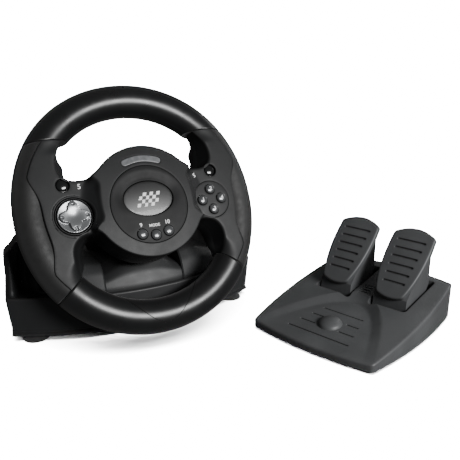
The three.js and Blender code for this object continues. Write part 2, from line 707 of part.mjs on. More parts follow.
function baseBoard() {
  const { fromX, toX, fromY, toY, z } = BASE_BOARD;
  return box(fromX, toX, fromY, toY, z, z + BOARD_THICKNESS);
}

const cableGland = () => carve(box(-6.7, 6.7, BASE.backY - 6, BASE.backY + 4, 20 + GAP, 28 - GAP), {
  cut: [rod(2.6, -12, 12).rotateX(PI / 2).translate(0, BASE.backY, 24)],
});

const pedalSocket = () => carve(box(28 + GAP, 44 - GAP, BASE.backY - 14, BASE.backY, 18 + GAP, 30 - GAP), {
  cut: [box(31, 41, BASE.backY - 11, BASE.backY + 1, 20.5, 27.5)],
});

// ---- Pedal unit -------------------------------------------------------------------------------

function trayPlan(inset) {
  // Square with four bowed sides.
  const [w, d] = [TRAY.halfWidth - inset, TRAY.halfDepth - inset];
  const bow = TRAY.bow;
  const shape = new THREE.Shape();
  shape.moveTo(-w + bow, -d + bow);
  shape.quadraticCurveTo(0, -d - bow, w - bow, -d + bow);
  shape.quadraticCurveTo(w + bow, 0, w - bow, d - bow);
  shape.quadraticCurveTo(0, d + bow, -w + bow, d - bow);
  shape.quadraticCurveTo(-w - bow, 0, -w + bow, -d + bow);
  return shape;
}

const TRAY_SLOPE = (TRAY.toeZ - TRAY.heelZ) / (2 * TRAY.halfDepth);
const trayTop = (y) => TRAY.heelZ + TRAY_SLOPE * (y + TRAY.halfDepth);

function aboveTray(drop) {
  // Everything above the sloping top of the tray, lowered by drop.
  const reach = TRAY.halfDepth + 30;
  const outline = [
    [-reach, trayTop(-reach) - drop], [reach, trayTop(reach) - drop], [reach, 120], [-reach, 120],
  ];
  const ring = (x) => outline.map(([y, z]) => new THREE.Vector3(x, y, z));
  return loft([ring(-120), ring(120)]);
}

function pedalCover() {
  const hollow = carve(extrude(trayPlan(WALL), TRAY.underZ - 1, 100), { cut: [aboveTray(WALL)] });
  const slots = [-1, 1].map((side) => {
    const x = side * PEDAL_X;
    return box(x - SLOT.halfWidth, x + SLOT.halfWidth, SLOT.fromY, SLOT.toY, 8, 80);
  });
  const bump = new THREE.SphereGeometry(12, 24, 12).scale(1, 1, 0.55).translate(0, -46, trayTop(-46) - 1);
  const plain = carve(extrude(trayPlan(0), TRAY.underZ, 100), { cut: [aboveTray(0)] });
  return carve(plain, { add: [bump], cut: [hollow, ...slots, ventRecess(GAP)] });
}

function ventRecess(grow) {
  return box(-6 - grow, 6 + grow, 16 - grow, 34 + grow, trayTop(25) - 8, 80);
}

const pedalPlate = () => extrude(trayPlan(WALL + GAP), TRAY.underZ, TRAY.underZ + PLATE_THICKNESS);

function ventPlate() {
  const bars = [20, 25, 30].map((y) => box(-4.5, 4.5, y - 0.9, y + 0.9, trayTop(25) - 2, 60));
  const slab = loft([-6, 6].map((x) => [
    [16, trayTop(16) - 6], [34, trayTop(34) - 6], [34, trayTop(34) - 0.4], [16, trayTop(16) - 0.4],
  ].map(([y, z]) => new THREE.Vector3(x, y, z))));
  return carve(slab, { cut: bars });
}

function padShape() {
  // Outline of the tread: narrow round heel, bowed sides, arched top.
  const { length, halfWidth } = PEDAL_PAD;
  const shape = new THREE.Shape();
  shape.moveTo(-halfWidth * 0.55, 2);
  shape.quadraticCurveTo(0, -4, halfWidth * 0.55, 2);
  shape.quadraticCurveTo(halfWidth * 0.98, 12, halfWidth, length * 0.42);
  shape.quadraticCurveTo(halfWidth * 1.04, length * 0.75, halfWidth * 0.86, length * 0.88);
  shape.quadraticCurveTo(0, length * 1.12, -halfWidth * 0.86, length * 0.88);
  shape.quadraticCurveTo(-halfWidth * 1.04, length * 0.75, -halfWidth, length * 0.42);
  shape.quadraticCurveTo(-halfWidth * 0.98, 12, -halfWidth * 0.55, 2);
  return shape;
}

function pedalPad(side) {
  const { length, thickness, slope, heelY, heelZ } = PEDAL_PAD;
  const grooves = [0, 1, 2, 3, 4, 5].map((i) => {
    const y = length * (0.22 + 0.115 * i);
    return box(-15, 15, y - 0.9, y + 0.9, thickness - 1.2, thickness + 2);
  });
  return carve(extrude(padShape(), 0, thickness, 8), { cut: grooves })
    .rotateX(slope).translate(side * PEDAL_X, heelY, heelZ);
}

function pedalArm(side) {
  // Wedge under the tread, with the pivot's eye at its heel end.
  const { slope, heelY, heelZ } = PEDAL_PAD;
  const under = (along) => [
    heelY + along * cos(slope) + GAP * sin(slope), heelZ + along * sin(slope) - GAP * cos(slope),
  ];
  const outline = new THREE.Shape([
    under(2), [PIVOT.y - 7, 14], [PIVOT.y + 5, 12.5], [58, 33], [64, 40], under(76),
  ].map(([y, z]) => new THREE.Vector2(y, z)));
  const bore = new THREE.Path();
  bore.absarc(PIVOT.y, PIVOT.z, PIVOT.radius + GAP, 0, 2 * PI, true);
  outline.holes.push(bore);
  // The outline's x and y are the pedal's y and z.
  const turn = new THREE.Matrix4().makeBasis(
    new THREE.Vector3(0, 1, 0), new THREE.Vector3(0, 0, 1), new THREE.Vector3(1, 0, 0),
  );
  return extrude(outline, -ARM_HALF_WIDTH, ARM_HALF_WIDTH, 6)
    .applyMatrix4(turn).translate(side * PEDAL_X, 0, 0);
}

const pivotPin = (side) => rod(PIVOT.radius, -ARM_HALF_WIDTH - 5, ARM_HALF_WIDTH + 5, 0, 0, 16)
  .rotateY(PI / 2).translate(side * PEDAL_X, PIVOT.y, PIVOT.z);

const pedalSpring = (side) => tube(
  4.5, 6.5, TRAY.underZ + PLATE_THICKNESS + GAP, 22, side * PEDAL_X, 48,
);

const pedalFoot = (x, y) => lathe([
  [0, 0], [FOOT.radius, 0], [FOOT.radius, 1.6],
  [FOOT.radius - 0.8, TRAY.underZ - GAP], [0, TRAY.underZ - GAP],
], COARSE, x, y);

// ---- Assembly ---------------------------------------------------------------------------------

const wheel = new THREE.Group();
wheel.position.z = WHEEL_HEIGHT;
wheel.rotation.x = PI / 2 - WHEEL_TILT;
wheel.add(
  part('wheel_front_shell', frontShell(), SATIN),
  part('wheel_rear_shell', rearShell(), SATIN),
  part('top_grip', ringGrip(true), SOFT),
  part('bottom_grip', ringGrip(false), SOFT),
  part('left_side_grip', sideGrip(-1), RUBBER),
  part('right_side_grip', sideGrip(1), RUBBER),
  part('hub_disc', hubDisc(), GLOSS),
  part('hub_badge', hubBadge(), GLOSS),
  part('light_lens', lightLens(), LENS_GREY),
  part('dpad_dish', dpadDish(), SATIN),
  part('dpad_pivot', dpadPivot(), NYLON),
  part('dpad_cap', dpadCap(), GLOSS),
  part('button_plate', buttonPlate(), SATIN),
  part('wheel_circuit_board', wheelBoard(), BOARD),
  part('steering_shaft', steeringShaft(), STEEL),
  part('shaft_screw', shaftScrew(), STEEL),
  part('steering_gear', steeringGear(), NYLON),
);
faceButtonCentres().forEach(([x, y], i) => {
  wheel.add(part(`face_button_${i + 1}`, button(x, y, BUTTON_RADIUS, 1.4, -6 - GAP), GLOSS));
});
wheel.add(
  part('corner_button_left', cornerButton(-1), GLOSS),
  part('corner_button_right', cornerButton(1), GLOSS),
  part('hub_button_left', hubButton(-HUB_BUTTONS.side[0], HUB_BUTTONS.side[1]), GLOSS),
  part('hub_button_mode', hubButton(...HUB_BUTTONS.middle), GLOSS),
  part('hub_button_right', hubButton(...HUB_BUTTONS.side), GLOSS),
  part('left_paddle', paddle(-1), SATIN),
  part('right_paddle', paddle(1), SATIN),
);

const column = new THREE.Group();
column.position.copy(wheel.position);
column.rotation.copy(wheel.rotation);
column.add(
  part('column_collar', columnCollar(), SATIN),
  part('front_bush', frontBush(), NYLON),
  part('bearing_carrier', bearingCarrier(), SATIN),
  part('centring_spring', centringSpring(), STEEL),
  part('steering_sensor', steeringSensor(), STEEL),
  part('sensor_pinion', sensorPinion(), NYLON),
);

const base = new THREE.Group();
base.add(
  part('base_upper_shell', baseUpperShell(), SATIN),
  part('base_lower_cover', baseLowerCover(), SATIN),
  part('base_circuit_board', baseBoard(), BOARD),
  part('usb_cable_gland', cableGland(), RUBBER),
  part('pedal_socket', pedalSocket(), SATIN),
);
[['front', CUPS.frontX, CUPS.frontY], ['rear', CUPS.rearX, CUPS.rearY]].forEach(([where, x, y]) => {
  base.add(
    part(`suction_cup_${where}_left`, suctionCup(-x, y), RUBBER),
    part(`suction_cup_${where}_right`, suctionCup(x, y), RUBBER),
  );
});

const pedals = new THREE.Group();
pedals.position.set(PEDALS.x, PEDALS.y, 0);
pedals.rotation.z = PEDALS.turn;
pedals.add(
  part('pedal_cover', pedalCover(), SATIN),
  part('pedal_plate', pedalPlate(), SATIN),
  part('pedal_vent_plate', ventPlate(), SATIN),
);
[['brake', -1], ['accelerator', 1]].forEach(([which, side]) => {
  pedals.add(
    part(`${which}_pad`, pedalPad(side), SATIN),
    part(`${which}_arm`, pedalArm(side), SATIN),
    part(`${which}_pivot_pin`, pivotPin(side), STEEL),
    part(`${which}_spring`, pedalSpring(side), STEEL),
  );
});
[['heel', -FOOT.y], ['toe', FOOT.y]].forEach(([where, y]) => {
  pedals.add(
    part(`pedal_foot_${where}_left`, pedalFoot(-FOOT.x, y), RUBBER),
    part(`pedal_foot_${where}_right`, pedalFoot(FOOT.x, y), RUBBER),
  );
});

// The set stands with the middle of its whole footprint at the origin.
const racingWheel = new THREE.Group();
racingWheel.add(wheel, column, base, pedals);
racingWheel.updateMatrixWorld(true);
const extent = new THREE.Box3().setFromObject(racingWheel, true);
const middle = extent.getCenter(new THREE.Vector3());
racingWheel.position.set(-middle.x, -middle.y, -extent.min.z);

export default racingWheel;
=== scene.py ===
"""Looks of the racing wheel and its pedal unit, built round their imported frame.

Every piece is made in the millimetres of its own unit (wheel, base or pedals) and stands in the frame by that
unit's matrix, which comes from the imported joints.
"""

import json
import math

import bmesh
import bpy
import numpy as np
from mathutils import Matrix, Vector
from mathutils.geometry import delaunay_2d_cdt


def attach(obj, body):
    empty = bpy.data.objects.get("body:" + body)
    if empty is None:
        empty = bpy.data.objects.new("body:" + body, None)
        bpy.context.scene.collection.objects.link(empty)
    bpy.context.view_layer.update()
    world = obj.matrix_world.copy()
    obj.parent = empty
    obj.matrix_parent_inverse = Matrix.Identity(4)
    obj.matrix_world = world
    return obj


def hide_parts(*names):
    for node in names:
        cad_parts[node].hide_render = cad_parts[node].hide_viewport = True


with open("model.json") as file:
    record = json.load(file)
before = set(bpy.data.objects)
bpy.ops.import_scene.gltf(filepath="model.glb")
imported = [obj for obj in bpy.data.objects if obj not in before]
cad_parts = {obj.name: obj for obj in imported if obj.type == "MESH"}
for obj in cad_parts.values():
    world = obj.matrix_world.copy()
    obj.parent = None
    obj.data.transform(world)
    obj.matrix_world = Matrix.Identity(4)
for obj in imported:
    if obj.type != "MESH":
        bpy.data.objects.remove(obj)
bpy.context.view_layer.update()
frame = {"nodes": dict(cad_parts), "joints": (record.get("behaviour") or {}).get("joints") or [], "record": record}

MM = 0.001
TAU = 2 * math.pi

# ---- Units' frames ------------------------------------------------------------------------------

JOINTS = {joint["name"]: joint for joint in frame["joints"]}


def unit_matrix(origin, x_axis, z_axis):
    """Frame in millimetres at origin, with these two axes."""
    x, z = Vector(x_axis).normalized(), Vector(z_axis).normalized()
    y = z.cross(x)
    turn = Matrix((x, y, z)).transposed().to_4x4()
    return Matrix.Translation(origin) @ turn


def pedal_matrix():
    """The pedal unit's frame, from its two pivots: they lie 20 mm toe-side of its middle."""
    brake, accelerator = (Vector(JOINTS[name]["pos_m"]) for name in ("brake_press", "accelerator_press"))
    across = (accelerator - brake).normalized()
    toe_ward = Vector((0, 0, 1)).cross(across)
    origin = (brake + accelerator) / 2 - 20 * MM * toe_ward
    return unit_matrix((origin.x, origin.y, 0), across, (0, 0, 1))


steering_pos = Vector(JOINTS["steering"]["pos_m"])
WHEEL = unit_matrix(steering_pos, (1, 0, 0), JOINTS["steering"]["axis"])
BASE = unit_matrix((steering_pos.x, steering_pos.y, 0), (1, 0, 0), (0, 0, 1))
PEDALS = pedal_matrix()
BEHIND_WHEEL = WHEEL @ Matrix.Rotation(math.pi, 4, "Y")

# ---- Materials ----------------------------------------------------------------------------------


class Shader:
    """A Principled material with small helpers to wire its nodes."""

    def __init__(self, name, **fixed):
        self.material = bpy.data.materials.new(name)
        self.material.use_nodes = True
        self.tree = self.material.node_tree
        self.bsdf = self.tree.nodes["Principled BSDF"]
        for socket, value in fixed.items():
            self.bsdf.inputs[socket.replace("_", " ")].default_value = value
        self.coordinates = self.tree.nodes.new("ShaderNodeTexCoord").outputs["Object"]

    def put(self, socket, value):
        """Set a socket to a value, or link it when the value is a node's output."""
        if isinstance(value, bpy.types.NodeSocket):
            self.tree.links.new(value, socket)
        else:
            socket.default_value = value

    def node(self, kind, output, **inputs):
        """The named output of a new node, with its inputs put in."""
        node = self.tree.nodes.new(f"ShaderNode{kind}")
        for name, value in inputs.items():
            self.put(node.inputs[name.replace("_", " ")], value)
        return node.outputs[output]

    def noise(self, per_metre, detail=3.0, stretch=(1, 1, 1)):
        place = self.node("Mapping", "Vector", Scale=stretch, Vector=self.coordinates)
        return self.node("TexNoise", "Fac", Scale=per_metre, Detail=detail, Vector=place)

    def cells(self, per_metre):
        return self.node("TexVoronoi", "Distance", Scale=per_metre, Vector=self.coordinates)

    def math(self, operation, a, b):
        node = self.tree.nodes.new("ShaderNodeMath")
        node.operation = operation
        self.put(node.inputs[0], a)
        self.put(node.inputs[1], b)
        return node.outputs["Value"]

    def ramp(self, factor, low, high, start=0.35, stop=0.65):
        node = self.tree.nodes.new("ShaderNodeValToRGB")
        for element, position, colour in zip(node.color_ramp.elements, (start, stop), (low, high)):
            element.position = position
            element.color = (*colour, 1)
        self.put(node.inputs["Fac"], factor)
        return node.outputs["Color"]

    def spread(self, factor, low, high):
        """The middle of a noise's range, spread from low to high."""
        limits = {"From_Min": 0.3, "From_Max": 0.7, "To_Min": low, "To_Max": high}
        return self.node("MapRange", "Result", Value=factor, **limits)

    def bump(self, height, depth_mm, strength=1.0):
        normal = self.node("Bump", "Normal", Height=height, Distance=depth_mm * MM, Strength=strength)
        self.put(self.bsdf.inputs["Normal"], normal)

    def colour(self, output):
        self.put(self.bsdf.inputs["Base Color"], output)

    def roughness(self, output):
        self.put(self.bsdf.inputs["Roughness"], output)


def tone(grey, tint=1.06):
    """A near-black with a slightly cool cast."""
    return (grey, grey * (1 + (tint - 1) / 2), grey * tint)


def moulded(name, grey, roughness, grain_mm=0.5, ior=1.5):
    """Moulded plastic: a spark-eroded grain, faint flow marks and uneven gloss."""
    s = Shader(name, IOR=ior)
    flow = s.noise(22, 4, (1, 1, 0.4))
    s.colour(s.ramp(flow, tone(grey * 0.88), tone(grey * 1.14)))
    s.roughness(s.spread(s.noise(60, 5), roughness - 0.035, roughness + 0.045))
    grain = s.math("ADD", s.cells(1000 / grain_mm), s.noise(2200 / grain_mm, 2))
    s.bump(grain, 0.02)
    return s.material


def soft_touch(name, grey, roughness):
    """Soft-touch paint over a moulding: velvety, with a faint orange peel."""
    s = Shader(name, Sheen_Weight=0.06, Sheen_Roughness=0.5, IOR=1.48)
    s.colour(s.ramp(s.noise(15, 5), tone(grey * 0.92), tone(grey * 1.1)))
    s.roughness(s.spread(s.noise(90, 4), roughness - 0.03, roughness + 0.04))
    peel = s.math("ADD", s.noise(420, 2), s.math("MULTIPLY", s.noise(2600, 3), 0.35))
    s.bump(peel, 0.035, 0.7)
    return s.material


def rubber(name, grey, roughness):
    """Matt rubber with a coarse grain and a trace of dust in it."""
    s = Shader(name, Sheen_Weight=0.12, Sheen_Roughness=0.6)
    s.colour(s.ramp(s.noise(130, 6), tone(grey * 0.8, 1.0), tone(grey * 1.3, 1.0)))
    s.roughness(s.spread(s.noise(200, 4), roughness - 0.06, roughness + 0.06))
    s.bump(s.math("ADD", s.cells(900), s.noise(3000, 3)), 0.05)
    return s.material


def gloss(name, grey, roughness, metallic=0.0, coat=0.35):
    """Polished plastic: nearly clean, with hairline scratches in its gloss."""
    s = Shader(name, Coat_Weight=coat, Coat_Roughness=0.08, Metallic=metallic)
    s.colour(s.ramp(s.noise(40, 3), tone(grey * 0.93), tone(grey * 1.08)))
    hair = s.noise(900, 2, (1, 14, 1))
    s.roughness(s.spread(hair, roughness - 0.02, roughness + 0.05))
    s.bump(s.noise(700, 2), 0.006)
    return s.material


def ink(name, grey):
    """Pad-printed ink, a little thin in places."""
    s = Shader(name, Roughness=0.5)
    s.colour(s.ramp(s.noise(1500, 4), tone(grey * 0.82, 1.0), tone(grey, 1.0), 0.3, 0.55))
    s.bump(s.noise(4000, 2), 0.01)
    return s.material


def smoked_lens(name):
    """Grey diffusing lens with fine prisms behind its surface."""
    s = Shader(name, Coat_Weight=0.5, Coat_Roughness=0.12)
    s.colour(s.ramp(s.noise(260, 4), (0.095, 0.098, 0.102), (0.15, 0.154, 0.16)))
    s.roughness(s.spread(s.noise(500, 2), 0.3, 0.4))
    s.bump(s.noise(900, 2, (6, 1, 1)), 0.02)
    return s.material


def steel(name):
    s = Shader(name, Metallic=1.0)
    s.colour(s.ramp(s.noise(120, 5), (0.42, 0.43, 0.44), (0.58, 0.58, 0.59)))
    s.roughness(s.spread(s.noise(300, 3, (1, 1, 12)), 0.22, 0.4))
    s.bump(s.noise(1500, 2, (1, 1, 20)), 0.01)
    return s.material


def board_green(name):
    """Solder mask over a faint pattern of tracks."""
    s = Shader(name, Coat_Weight=0.3)
    s.colour(s.ramp(s.noise(300, 2, (1, 0.15, 1)), (0.012, 0.07, 0.03), (0.03, 0.15, 0.06), 0.48, 0.52))
    s.roughness(s.spread(s.noise(200), 0.35, 0.5))
    s.bump(s.noise(300, 2, (1, 0.15, 1)), 0.03)
    return s.material


def nylon(name):
    s = Shader(name, Subsurface_Weight=0.1, Subsurface_Scale=0.002)
    s.colour(s.ramp(s.noise(80, 4), (0.6, 0.57, 0.48), (0.72, 0.7, 0.62)))
    s.roughness(s.spread(s.noise(200), 0.4, 0.55))
    s.bump(s.noise(1200, 3), 0.02)
    return s.material


def floor_material():
    """Pale seamless paper."""
    s = Shader("paper", Roughness=0.75, Specular_IOR_Level=0.2)
    s.colour(s.ramp(s.noise(30, 5), (0.86, 0.86, 0.86), (0.89, 0.89, 0.89)))
    s.bump(s.noise(900, 4), 0.02)
    return s.material


MATERIALS = {
    "shell_plastic": moulded("shell_plastic", 0.013, 0.48, ior=1.33),
    "base_plastic": moulded("base_plastic", 0.024, 0.46, 0.6, ior=1.38),
    "pedal_plastic": moulded("pedal_plastic", 0.066, 0.44, 0.6, ior=1.42),
    "grip_soft": soft_touch("grip_soft", 0.007, 0.30),
    "side_grip_rubber": rubber("side_grip_rubber", 0.004, 0.6),
    "gloss_black": gloss("gloss_black", 0.075, 0.2, 0.35),
    "badge_gloss": gloss("badge_gloss", 0.008, 0.36, coat=0.1),
    "lens_grey": smoked_lens("lens_grey"),
    "foot_rubber": rubber("foot_rubber", 0.014, 0.7),
    "steel": steel("steel"),
    "board_green": board_green("board_green"),
    "nylon": nylon("nylon"),
}
PRINT = ink("white_print", 0.9)
HUB_SKIN = moulded("hub_skin", 0.007, 0.5, ior=1.26)
DARK_SKIN = moulded("dark_skin", 0.012, 0.45)
# Painted light: the collar's grey is far paler than the base's plastic, to show it lit where the hub shades it.
COLLAR_PAINTED_LIGHT = moulded("collar_painted_light", 0.16, 0.45, 0.6)
CORNER_GLOSS = gloss("corner_gloss", 0.008, 0.13)
DPAD_GREY = gloss("dpad_grey", 0.16, 0.24, 0.5)

# ---- Meshes -------------------------------------------------------------------------------------


def face_outwards(mesh):
    shape = bmesh.new()
    shape.from_mesh(mesh)
    bmesh.ops.recalc_face_normals(shape, faces=shape.faces)
    shape.to_mesh(mesh)
    shape.free()


def placed(name, data):
    """A new object in the scene."""
    thing = bpy.data.objects.new(name, data)
    bpy.context.scene.collection.objects.link(thing)
    return thing


def add_mesh(name, vertices, faces, unit, body, slot, material=None, sharp=38, replaces=()):
    """A piece from vertices in its unit's millimetres."""
    mesh = bpy.data.meshes.new(name)
    mesh.from_pydata([tuple(c * MM for c in v) for v in vertices], [], faces)
    mesh.validate()
    face_outwards(mesh)
    mesh.shade_smooth()
    mesh.set_sharp_from_angle(angle=math.radians(sharp))
    mesh.materials.append(material or MATERIALS[slot])
    piece = placed(name, mesh)
    piece.matrix_world = unit
    bpy.context.view_layer.update()
    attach(piece, body)
    if replaces:
        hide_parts(*replaces)
    return piece


def joined(*parts):
    """Vertices and faces of several parts as one list each."""
    vertices, faces = [], []
    for part_vertices, part_faces in parts:
        start = len(vertices)
        vertices += [tuple(v) for v in part_vertices]
        faces += [tuple(i + start for i in face) for face in part_faces]
    return vertices, faces


def skin(rows, ring=True, caps=False):
    """Quads over rows of points. ring closes each row on itself, caps fill the first and the last row."""
    count = len(rows[0])
    vertices = [tuple(p) for row in rows for p in row]
    faces = []
    for r in range(len(rows) - 1):
        here, there = r * count, (r + 1) * count
        for i in range(count if ring else count - 1):
            j = (i + 1) % count
            faces.append((here + i, here + j, there + j, there + i))
    if caps:
        faces.append(tuple(range(count))[::-1])
        faces.append(tuple((len(rows) - 1) * count + i for i in range(count)))
    return vertices, faces


def turned(profile, segments=72, centre=(0, 0)):
    """Lathe of a [radius, z] profile, listed from its outside bottom up and in to the axis."""
    rows = []
    for radius, z in profile:
        rows.append([
            (centre[0] + max(radius, 0.01) * math.cos(TAU * i / segments),
             centre[1] + max(radius, 0.01) * math.sin(TAU * i / segments), z)
            for i in range(segments)
        ])
    return skin(rows)


def rounded(profile, radius=0.5, steps=4):
    """The open profile with each inner corner turned into an arc-like curve."""
    points = [Vector(p) for p in profile]
    out = [points[0]]
    for before, corner, after in zip(points, points[1:], points[2:]):
        reach = min(radius, (before - corner).length * 0.45, (after - corner).length * 0.45)
        start = corner + (before - corner).normalized() * reach
        stop = corner + (after - corner).normalized() * reach
        for k in range(steps + 1):
            t = k / steps
            out.append((1 - t) ** 2 * start + 2 * t * (1 - t) * corner + t ** 2 * stop)
    out.append(points[-1])
    return [tuple(p) for p in out]


def smoothstep(x):
    x = np.clip(x, 0.0, 1.0)
    return x * x * (3 - 2 * x)


def arc(cx, cy, radius, start, stop, step=1.5):
    """Points along an arc, angles in degrees, about step apart."""
    count = max(2, int(abs(math.radians(stop - start)) * radius / step) + 1)
    return [
        (cx + radius * math.cos(math.radians(start + (stop - start) * i / count)),
         cy + radius * math.sin(math.radians(start + (stop - start) * i / count)))
        for i in range(count + 1)
    ]


def bend(start, control, stop, step=1.5):
    """Points along a quadratic curve."""
    length = math.dist(start, control) + math.dist(control, stop)
    count = max(2, int(length / step))
    return [
        tuple((1 - t) ** 2 * a + 2 * t * (1 - t) * b + t * t * c for a, b, c in zip(start, control, stop))
        for t in (i / count for i in range(count + 1))
    ]


def circle(cx, cy, radius, step=1.2):
    return arc(cx, cy, radius, 0, 360, step)[:-1]


def even_loop(points, step=1.5):
    """The closed loop with points about step apart and no repeats."""
    out = []
    for a, b in zip(points, points[1:] + points[:1]):
        pieces = max(1, round(math.dist(a, b) / step)) if math.dist(a, b) > 1e-6 else 0
        out += [(a[0] + (b[0] - a[0]) * k / pieces, a[1] + (b[1] - a[1]) * k / pieces) for k in range(pieces)]
    return np.array(out)


def relaxed(loop, passes, pinned=None):
    """The loop with its corners eased, except where pinned."""
    keep = np.zeros(len(loop), bool) if pinned is None else pinned
    for _ in range(passes):
        eased = loop * 0.5 + (np.roll(loop, 1, 0) + np.roll(loop, -1, 0)) * 0.25
        loop = np.where(keep[:, None], loop, eased)
    return loop


def inward(loop):
    """Mitred unit offsets of a loop, to its left."""
    before = loop - np.roll(loop, 1, 0)
    after = np.roll(loop, -1, 0) - loop
    normals = []
    for edge in (before, after):
        edge = edge / np.linalg.norm(edge, axis=1, keepdims=True)
        normals.append(np.stack([-edge[:, 1], edge[:, 0]], 1))
    dot = np.sum(normals[0] * normals[1], 1, keepdims=True)
    return (normals[0] + normals[1]) / np.maximum(1 + dot, 0.45)


def within(points, loops):
    """Which points are inside an odd number of the loops."""
    inside = np.zeros(len(points), bool)
    x, y = points[:, 0:1], points[:, 1:2]
    for loop in loops:
        a, b = loop, np.roll(loop, -1, 0)
        crosses = (a[:, 1] > y) != (b[:, 1] > y)
        rise = np.where(b[:, 1] == a[:, 1], 1.0, b[:, 1] - a[:, 1])
        at = a[:, 0] + (y - a[:, 1]) * (b[:, 0] - a[:, 0]) / rise
        inside ^= (np.sum(crosses & (x < at), 1) % 2).astype(bool)
    return inside


def clearance(points, loops):
    """Distance from each point to the nearest vertex of the loops."""
    corners = np.concatenate(loops)
    nearest = np.full(len(points), 1e9)
    for start in range(0, len(corners), 400):
        gap = points[:, None, :] - corners[None, start:start + 400, :]
        nearest = np.minimum(nearest, np.min(np.sum(gap * gap, 2), 1))
    return np.sqrt(nearest)


def scatter(loops, spacing, dense, lines):
    """Points for the inside of a plate: the lines' own points, a coarse grid, and finer grids in the dense
    zones (x0, x1, y0, y1, spacing)."""
    low, high = loops[0].min(0), loops[0].max(0)
    zones = [(low[0], high[0], low[1], high[1], spacing), *dense]
    kept = []
    if len(lines):
        lines = lines[within(lines, loops)]
        lines = lines[clearance(lines, loops) > 0.4]
        kept.append(lines)
    for index, (x0, x1, y0, y1, pitch) in enumerate(zones):
        columns = np.arange(x0, x1, pitch)
        rows = np.arange(y0, y1, pitch * 0.87)
        grid = np.array([(x + (r % 2) * pitch / 2, y) for r, y in enumerate(rows) for x in columns])
        for a0, a1, b0, b1, _ in zones[index + 1:]:
            over = (grid[:, 0] > a0) & (grid[:, 0] < a1) & (grid[:, 1] > b0) & (grid[:, 1] < b1)
            grid = grid[~over]
        if len(grid):
            grid = grid[within(grid, loops)]
        if len(grid):
            grid = grid[clearance(grid, [*loops, lines] if len(lines) else loops) > pitch * 0.55]
        kept.append(grid.reshape(-1, 2))
    return np.concatenate(kept)


def triangulate(loops, inner):
    """Triangles over the region between the loops, with the inner points in them."""
    points = np.concatenate([*loops, inner]) if len(inner) else np.concatenate(loops)
    edges, start = [], 0
    for loop in loops:
        edges += [(start + i, start + (i + 1) % len(loop)) for i in range(len(loop))]
        start += len(loop)
    found = delaunay_2d_cdt([Vector(p) for p in points], edges, [], 0, 1e-6)
    source = [ids[0] if ids else None for ids in found[3]]
    faces = [tuple(source[i] for i in face) for face in found[2] if all(source[i] is not None for i in face)]
    centres = np.array([points[list(face)].mean(0) for face in faces])
    inside = within(centres, loops)
    return points, [face for face, keep in zip(faces, inside) if keep]


def plate(outline, height, wall_z, holes=(), edge=1.5, spacing=2.0, dense=(), steps=5, foot=0.0,
          lines=(), floors=False):
    """A moulded plate: a sculpted top over an outline, rounded over at its edges, with walls down to wall_z.

    outline is anticlockwise. height(x, y) gives the top. edge is the rounding radius, one number or one per
    point. holes are (loop, radius of the rounding, z that the wall goes down to), with clockwise loops. foot
    is how far the foot of the outer wall is moved, as one (x, y) per point. lines are points that the
    top's creases run through. floors closes the holes that stop short of wall_z.
    """
    vertices, faces, tops, bottoms = [], [], [], []
    borders = [(outline, edge, wall_z), *holes]
    for number, (loop, radius, low) in enumerate(borders):
        loop = np.asarray(loop, float)
        radius = np.broadcast_to(np.asarray(radius, float), (len(loop),))[:, None]
        offset = inward(loop)
        rows = [np.column_stack([loop + (0.0 if number else foot), np.full(len(loop), low)])]
        for k in range(steps + 1):
            a = math.pi / 2 * k / steps
            flat = loop + offset * radius * (1 - math.cos(a))
            z = height(flat[:, 0], flat[:, 1]) - radius[:, 0] * (1 - math.sin(a))
            rows.append(np.column_stack([flat, z]))
        start = len(vertices)
        row_vertices, row_faces = skin(rows)
        vertices += row_vertices
        faces += [tuple(i + start for i in face) for face in row_faces]
        bottoms.append((start, rows[0][:, :2]))
        if floors and low != wall_z:
            faces.append(tuple(start + i for i in range(len(loop))))
        tops.append((start + (steps + 1) * len(loop), rows[-1][:, :2]))
    loops = [flat for _, flat in tops]
    inner = scatter(loops, spacing, dense, np.array(lines, float).reshape(-1, 2))
    start = len(vertices)
    if len(inner):
        vertices += [tuple(v) for v in np.column_stack([inner, height(inner[:, 0], inner[:, 1])])]
    index = [first + np.arange(len(loop)) for first, loop in tops]
    index = np.concatenate([*index, start + np.arange(len(inner))])
    faces += [tuple(int(index[i]) for i in face) for face in triangulate(loops, inner)[1]]
    through = [item for item, border in zip(bottoms, borders) if border[2] == wall_z]
    index = np.concatenate([first + np.arange(len(loop)) for first, loop in through])
    under = triangulate([loop for _, loop in through], np.zeros((0, 2)))[1]
    faces += [tuple(int(index[i]) for i in face)[::-1] for face in under]
    return vertices, faces


# ---- Rim and grips ------------------------------------------------------------------------------

RIM_RADIUS, RIM_SIDE_CUT = 112.7, 5.5
RIM_HALF_WIDTH, RIM_HALF_DEPTH, RIM_Z = 17.3, 16.5, -20
TOP_SEAM_Y = 71
LOW_SEAM = math.radians(-40.7)
PLATE_RADIUS = 113.5
SEAM = 0.35


def rim_radius(angle):
    return RIM_RADIUS - RIM_SIDE_CUT * np.cos(angle) ** 4


def plate_edge(angle):
    """Outer edge of the side plate, dipping where the thumb rests."""
    across = (angle - math.radians(-6)) / math.radians(25.5)
    dip = np.where(np.abs(across) < 1, (1 - across ** 4) ** 2, 0)
    return PLATE_RADIUS - 14.5 * dip


def rim_front(x, y):
    """Height of the rim's front over a point of the wheel's face."""
    angle = np.arctan2(y, np.abs(x))
    across = np.clip((np.hypot(x, y) - rim_radius(angle)) / RIM_HALF_WIDTH, -0.98, 0.98)
    return RIM_Z + RIM_HALF_DEPTH * np.sqrt(1 - across ** 2)


def rim_point(angle, turn, inset=0.0):
    """Point of the rim at an angle round the wheel and a turn round its section."""
    radius = rim_radius(angle) + (RIM_HALF_WIDTH - inset) * math.cos(turn)
    z = RIM_Z + (RIM_HALF_DEPTH - inset) * math.sin(turn)
    return (radius * math.cos(angle), radius * math.sin(angle), z)


